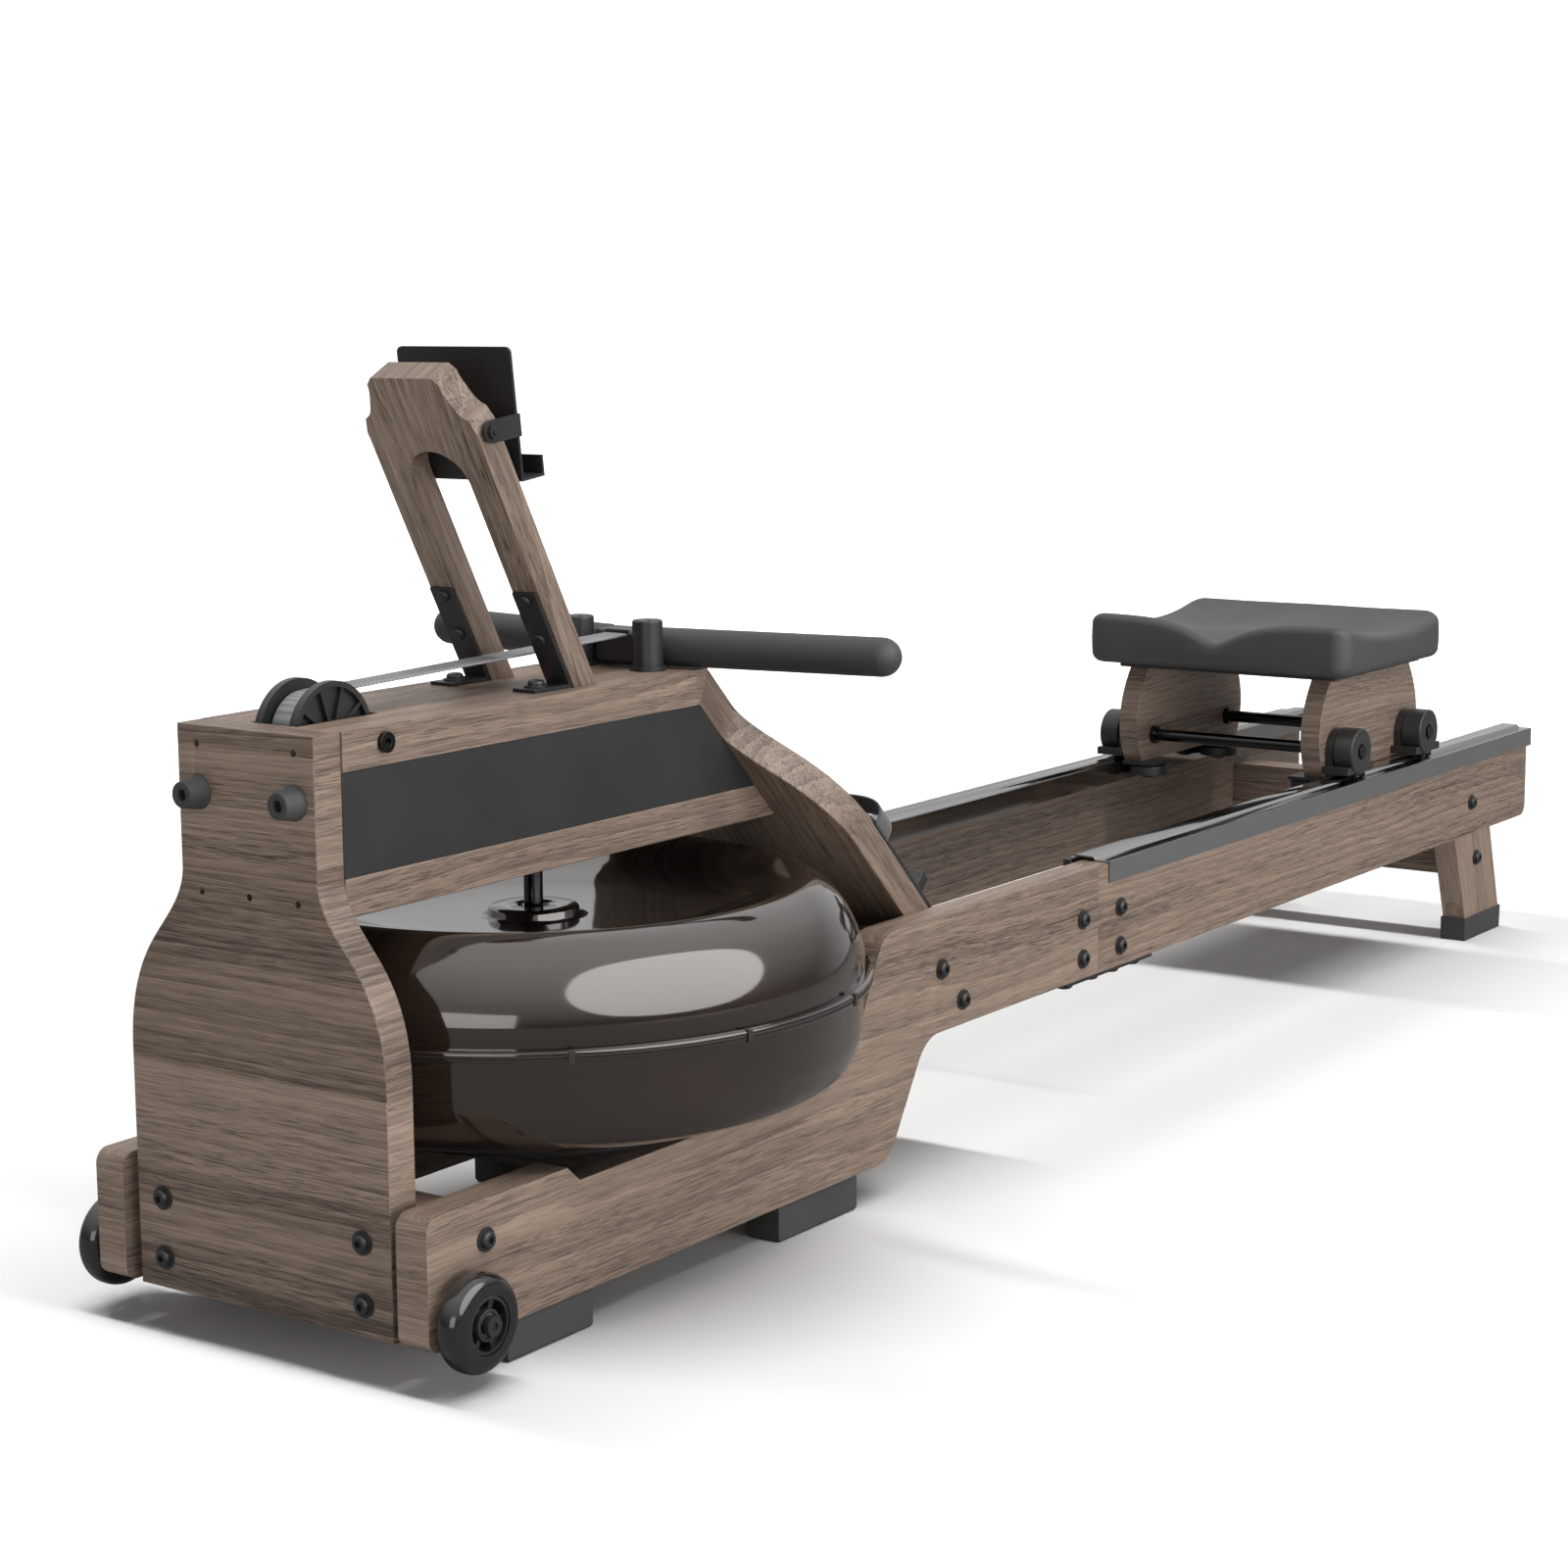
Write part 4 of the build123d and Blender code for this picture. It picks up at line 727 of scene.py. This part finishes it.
def seatTop(u, v, top):
    # u runs from the front edge (0) to the rear (1), v from the middle (0) to either side (1).
    # Side line: a parabola each way from its lowest place; the notch is a rounded groove that fades
    # towards the rear; the hollows are two soft bowls.
    look = seatLook
    before = np.clip((look["lowPlace"] - u) / look["lowPlace"], 0, 1) ** 2
    behind = np.clip((u - look["lowPlace"]) / (1 - look["lowPlace"]), 0, 1) ** 2
    drop = (look["sideLow"] - (look["sideLow"] - look["frontCornerDrop"]) * before
            - (look["sideLow"] - look["rearDrop"]) * behind)
    groove = np.exp(-(v / look["notchWidth"]) ** look["notchPower"])
    groove = groove * np.exp(-(u / look["notchReach"]) ** 2)
    drop = drop + (look["notchDrop"] - look["frontCornerDrop"]) * groove
    (placeU, placeV), (reachU, reachV) = look["hollowPlace"], look["hollowReach"]
    bowls = np.exp(-((u - placeU) / reachU) ** 2 - ((np.abs(v) - placeV) / reachV) ** 2)
    return top - drop - look["hollowDepth"] * bowls


def makeSeatCushion():
    low, high = (np.array(corner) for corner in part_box("seat_cushion"))
    low, high = low + seatLook["margin"], high - seatLook["margin"]
    middle = (low + high) / 2
    half = (high - low) / 2
    corner = seatLook["corner"]
    around = []
    for quarter, (signX, signY) in enumerate([(1, 1), (-1, 1), (-1, -1), (1, -1)]):
        bend = quarter * pi / 2 + np.linspace(0, pi / 2, 14)
        centreX, centreY = signX * (half[0] - corner), signY * (half[1] - corner)
        around.append(np.stack([centreX + corner * np.cos(bend), centreY + corner * np.sin(bend),
                                np.cos(bend), np.sin(bend)], 1))
    outline = np.vstack(around)
    # straight sides get points between the corners too
    dense = []
    for here, there in zip(outline, np.roll(outline, -1, axis=0)):
        length = np.hypot(*(there[:2] - here[:2]))
        count = max(int(length / seatLook["pointSpacing"]), 1)
        steps = np.linspace(0, 1, count, endpoint=False)[:, None]
        dense.append(here + (there - here) * steps)
    outline = np.vstack(dense)
    ring, normal = outline[:, :2], outline[:, 2:]
    rows = []
    rounding = np.linspace(0, pi / 2, 9)
    bottomRound, topRound = seatLook["bottomRound"], seatLook["topRound"]
    for share in np.linspace(0, 1, 12, endpoint=False):
        rows.append(np.column_stack([(ring - normal * bottomRound) * share, np.full(len(ring), low[2])]))
    for angle in rounding:
        inset = bottomRound * (1 - np.sin(angle))
        height = low[2] + bottomRound * (1 - np.cos(angle))
        rows.append(np.column_stack([ring - normal * inset, np.full(len(ring), height)]))

    def topAt(xy):
        u = (xy[:, 0] + half[0]) / (2 * half[0])
        v = np.abs(xy[:, 1]) / half[1]
        return seatTop(u, v, high[2])

    wallSteps = np.linspace(0, 1, seatLook["wallRows"])[1:-1]
    wallBulges = np.sin(np.linspace(0, pi, seatLook["wallRows"]))[1:-1] * seatLook["wallBulge"]
    edgeHeight = topAt(ring) - topRound
    for step, bulge in zip(wallSteps, wallBulges):
        height = (low[2] + bottomRound) * (1 - step) + edgeHeight * step
        rows.append(np.column_stack([ring + normal * bulge, height]))
    for angle in rounding:
        inset = topRound * (1 - np.cos(angle))
        xy = ring - normal * inset
        rows.append(np.column_stack([xy, topAt(ring) - topRound + topRound * np.sin(angle)]))
    inner = ring - normal * topRound
    lift = topAt(ring) - topAt(inner)
    for share in np.linspace(1, 0, 34)[1:]:
        xy = inner * share
        rows.append(np.column_stack([xy, topAt(xy) + lift * share ** 6]))
    points = np.array(rows)
    points[..., :2] += middle[:2]
    piece = surface("seatCushion", points, seatSkin, bodyOf("seat_cushion"), smooth=70)
    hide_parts("seat_cushion")


makeSeatCushion()
print("seat ready")


# foot straps: a webbing band arched over each foot

bandLook = {"inset": 0.002, "thick": 0.0016, "edgePower": 0.42, "risePower": 0.62,
            "sideGap": 0.0008, "footGap": 0.0005, "topGap": 0.0015, "endAngle": 0.02}
slopeDown = np.array([1, 0, -1]) / sqrt(2)
slopeOut = np.array([1, 0, 1]) / sqrt(2)


def slopeSpan(points, direction):
    # a box around a sloping solid reaches further than the solid, so its own vertices are measured
    # along the direction instead
    values = points @ direction
    return values.min(), values.max()


def nodePoints(nodeName):
    mesh = cad[nodeName].data
    values = np.empty(len(mesh.vertices) * 3)
    mesh.vertices.foreach_get("co", values)
    return values.reshape(-1, 3)


bandPoints = nodePoints("foot_straps")
for side, sign in (("left", -1), ("right", 1)):
    mine = bandPoints[bandPoints[:, 1] * sign > 0]
    downLow, downHigh = slopeSpan(mine, slopeDown)
    outLow, outHigh = slopeSpan(mine, slopeOut)
    acrossLow, acrossHigh = mine[:, 1].min(), mine[:, 1].max()
    middleY = (acrossLow + acrossHigh) / 2
    halfY = (acrossHigh - acrossLow) / 2 - bandLook["sideGap"]
    angle = np.linspace(bandLook["endAngle"], pi - bandLook["endAngle"], 64)
    y = middleY + halfY * np.sign(np.cos(angle)) * np.abs(np.cos(angle)) ** bandLook["edgePower"]
    height = outHigh - outLow - bandLook["topGap"]
    rise = outLow + bandLook["footGap"] + height * np.sin(angle) ** bandLook["risePower"]
    wide = np.linspace(downLow + bandLook["inset"], downHigh - bandLook["inset"], 9)
    points = (wide[:, None, None] * slopeDown + rise[None, :, None] * slopeOut)
    points[..., 1] = y[None]
    band = surface(f"footBand_{side}", points, footWeb, "frame", closeAround=False, smooth=60)
    thick = band.modifiers.new("thickness", "SOLIDIFY")
    thick.thickness = bandLook["thick"]
    thick.offset = 0
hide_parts("foot_straps")
print("foot straps ready")


# floor, light and camera

cameraLook = {"lens": 71.01, "place": (-2.6654, -1.6229, 0.800), "pitch": 9.116, "heading": 34.98,
              "roll": -0.4306}


def setCamera():
    # forward is the heading tipped down by the pitch; right and up follow, then both turn by the roll
    pitch, heading, roll = (radians(cameraLook[key]) for key in ("pitch", "heading", "roll"))
    forward = Vector((cos(pitch) * cos(heading), cos(pitch) * sin(heading), -sin(pitch)))
    right = Vector((sin(heading), -cos(heading), 0))
    up = right.cross(forward)
    rolledRight = cos(roll) * right + sin(roll) * up
    rolledUp = -sin(roll) * right + cos(roll) * up
    data = bpy.data.cameras.new("camera")
    data.lens = cameraLook["lens"]
    data.sensor_width = 36
    data.clip_end = 200
    camera = bpy.data.objects.new("camera", data)
    turn = Matrix((rolledRight, rolledUp, -forward)).transposed().to_4x4()
    camera.matrix_world = Matrix.Translation(cameraLook["place"]) @ turn
    bpy.context.scene.collection.objects.link(camera)
    bpy.context.scene.camera = camera


def softLight(name, place, target, size, power, colour=(1, 1, 1), shape="RECTANGLE"):
    data = bpy.data.lights.new(name, "AREA")
    data.shape = shape
    data.size, data.size_y = size
    data.energy = power
    data.color = colour
    lamp = bpy.data.objects.new(name, data)
    lamp.location = place
    lamp.rotation_euler = (Vector(target) - Vector(place)).to_track_quat("-Z", "Y").to_euler()
    bpy.context.scene.collection.objects.link(lamp)
    return lamp


# painted shade in reflections: glossy rays see the floor in a darker colour, standing in for the shadowed
# floor near the machine as the tank and other glossy parts mirror it
floorLook = {"plain": (0.82, 0.82, 0.82), "mirrored": (0.22, 0.215, 0.21), "reach": 40.0,
             "fadeStart": 1.2, "fadeEnd": 4.0}


def makeFloor():
    mesh = bpy.data.meshes.new("floor")
    reach = floorLook["reach"]
    mesh.from_pydata([(-reach, -reach, 0), (reach, -reach, 0), (reach, reach, 0), (-reach, reach, 0)], [],
                     [(0, 1, 2, 3)])
    made, tree, shader, place = startMaterial("floorWhite")
    mirrored = add(tree, "ShaderNodeLightPath").outputs["Is Glossy Ray"]
    # painted shade: rays mirrored off glossy surfaces get the darker floor colour
    colour = mixColour(tree, mirrored, (*floorLook["plain"], 1), (*floorLook["mirrored"], 1))
    tree.links.new(colour, shader.inputs["Base Color"])
    setShader(shader, Roughness=0.9, Specular_IOR_Level=0.0)
    distance = add(tree, "ShaderNodeVectorMath", {0: place}, operation="LENGTH").outputs["Value"]
    # far off, the floor fades to plain white for the camera, without lighting the machine
    seen = add(tree, "ShaderNodeLightPath").outputs["Is Camera Ray"]
    fade = span(tree, distance, floorLook["fadeStart"], floorLook["fadeEnd"])
    tree.links.new(calc(tree, "MULTIPLY", seen, fade), shader.inputs["Emission Strength"])
    shader.inputs["Emission Color"].default_value = (1, 1, 1, 1)
    mesh.materials.append(made)
    floor = bpy.data.objects.new("floor", mesh)
    bpy.context.scene.collection.objects.link(floor)


studioLook = {
    "plain": 1.05, "room": 0.05, "sweep": 0.6, "sweepLit": 0.45, "sweepSide": (0.76, 0.60, 0.25),
    "sweepEdge": (0.25, 0.85), "mirrorLow": 0.15, "mirrorHigh": 1.5, "mirrorEdge": (0.1, 0.9),
}


def setWorld():
    # white behind everything; what lights and mirrors in the surfaces is a dim room whose far side,
    # behind the machine, is a pale sweep
    world = bpy.data.worlds.new("studio")
    world.use_nodes = True
    bpy.context.scene.world = world
    tree = world.node_tree
    tree.nodes.clear()
    seen = add(tree, "ShaderNodeLightPath").outputs["Is Camera Ray"]
    plain = add(tree, "ShaderNodeBackground", {"Color": (1, 1, 1, 1), "Strength": studioLook["plain"]})
    direction = tree.nodes.new("ShaderNodeTexCoord").outputs["Generated"]
    behind = reachAlong(tree, direction, studioLook["sweepSide"])
    glow = span(tree, behind, *studioLook["sweepEdge"], studioLook["room"], studioLook["sweep"])
    faint = span(tree, behind, *studioLook["sweepEdge"], studioLook["room"], studioLook["sweepLit"])
    soft = add(tree, "ShaderNodeBackground", {"Color": (1, 1, 1, 1), "Strength": faint})
    # what surfaces mirror gets lighter towards the ceiling
    height = add(tree, "ShaderNodeSeparateXYZ", {0: direction}).outputs[2]
    ceiling = span(tree, height, *studioLook["mirrorEdge"], studioLook["mirrorLow"],
                   studioLook["mirrorHigh"])
    mirror = add(tree, "ShaderNodeBackground", {"Color": (1, 1, 1, 1),
                                                "Strength": calc(tree, "MAXIMUM", glow, ceiling)})
    glossy = add(tree, "ShaderNodeLightPath").outputs["Is Glossy Ray"]
    lit = add(tree, "ShaderNodeMixShader", {0: glossy, 1: soft.outputs[0], 2: mirror.outputs[0]})
    mixed = add(tree, "ShaderNodeMixShader", {0: seen, 1: lit.outputs[0], 2: plain.outputs[0]})
    out = tree.nodes.new("ShaderNodeOutputWorld")
    tree.links.new(mixed.outputs[0], out.inputs[0])


lightLook = {
    # the overhead strip runs across the rails: shadows of the cross pieces stay crisp, those of the
    # rails soften
    "overhead": {"place": (-0.3, 0.4, 20.0), "size": (1.2, 36.0), "power": 6300},
    # the low fills light upright faces and leave the floor to the overhead strip: name, place, size,
    # power, and whether glossy surfaces mirror it
    "fills": [("sideFill", (-0.4, -4.4, 0.55), (4.0, 0.9), 128, False),
              ("frontFill", (-4.2, -0.9, 0.8), (2.5, 1.2), 24, True)],
    "fillTarget": (0, 0, 0.3), "fillColour": (1.0, 0.99, 0.975),
    # the oval glint on the tank comes from ovals inside one another
    "glint": {"place": (-0.74, -3.16, 2.19), "target": (-0.838, -0.24, 0.282), "size": (4.6, 3.2),
              "power": 125, "shares": (1.10, 1.00, 0.90)},
}


def setLights():
    look = lightLook["overhead"]
    overhead = softLight("overhead", look["place"], (0, 0, 0), look["size"], look["power"])
    overhead.rotation_euler = (0, 0, 0)
    overhead.visible_glossy = False
    for name, place, size, power, mirrored in lightLook["fills"]:
        fill = softLight(name, place, lightLook["fillTarget"], size, power, lightLook["fillColour"])
        fill.visible_glossy = mirrored
    look = lightLook["glint"]
    for share in look["shares"]:
        size = (look["size"][0] * share, look["size"][1] * share)
        glint = softLight("tankGlint", look["place"], look["target"], size, look["power"] * share ** 2,
                          shape="ELLIPSE")
        glint.visible_diffuse = False


setCamera()
makeFloor()
setWorld()
setLights()
bpy.context.scene.view_settings.view_transform = "Standard"
print("stage ready")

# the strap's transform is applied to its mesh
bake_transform(strap)
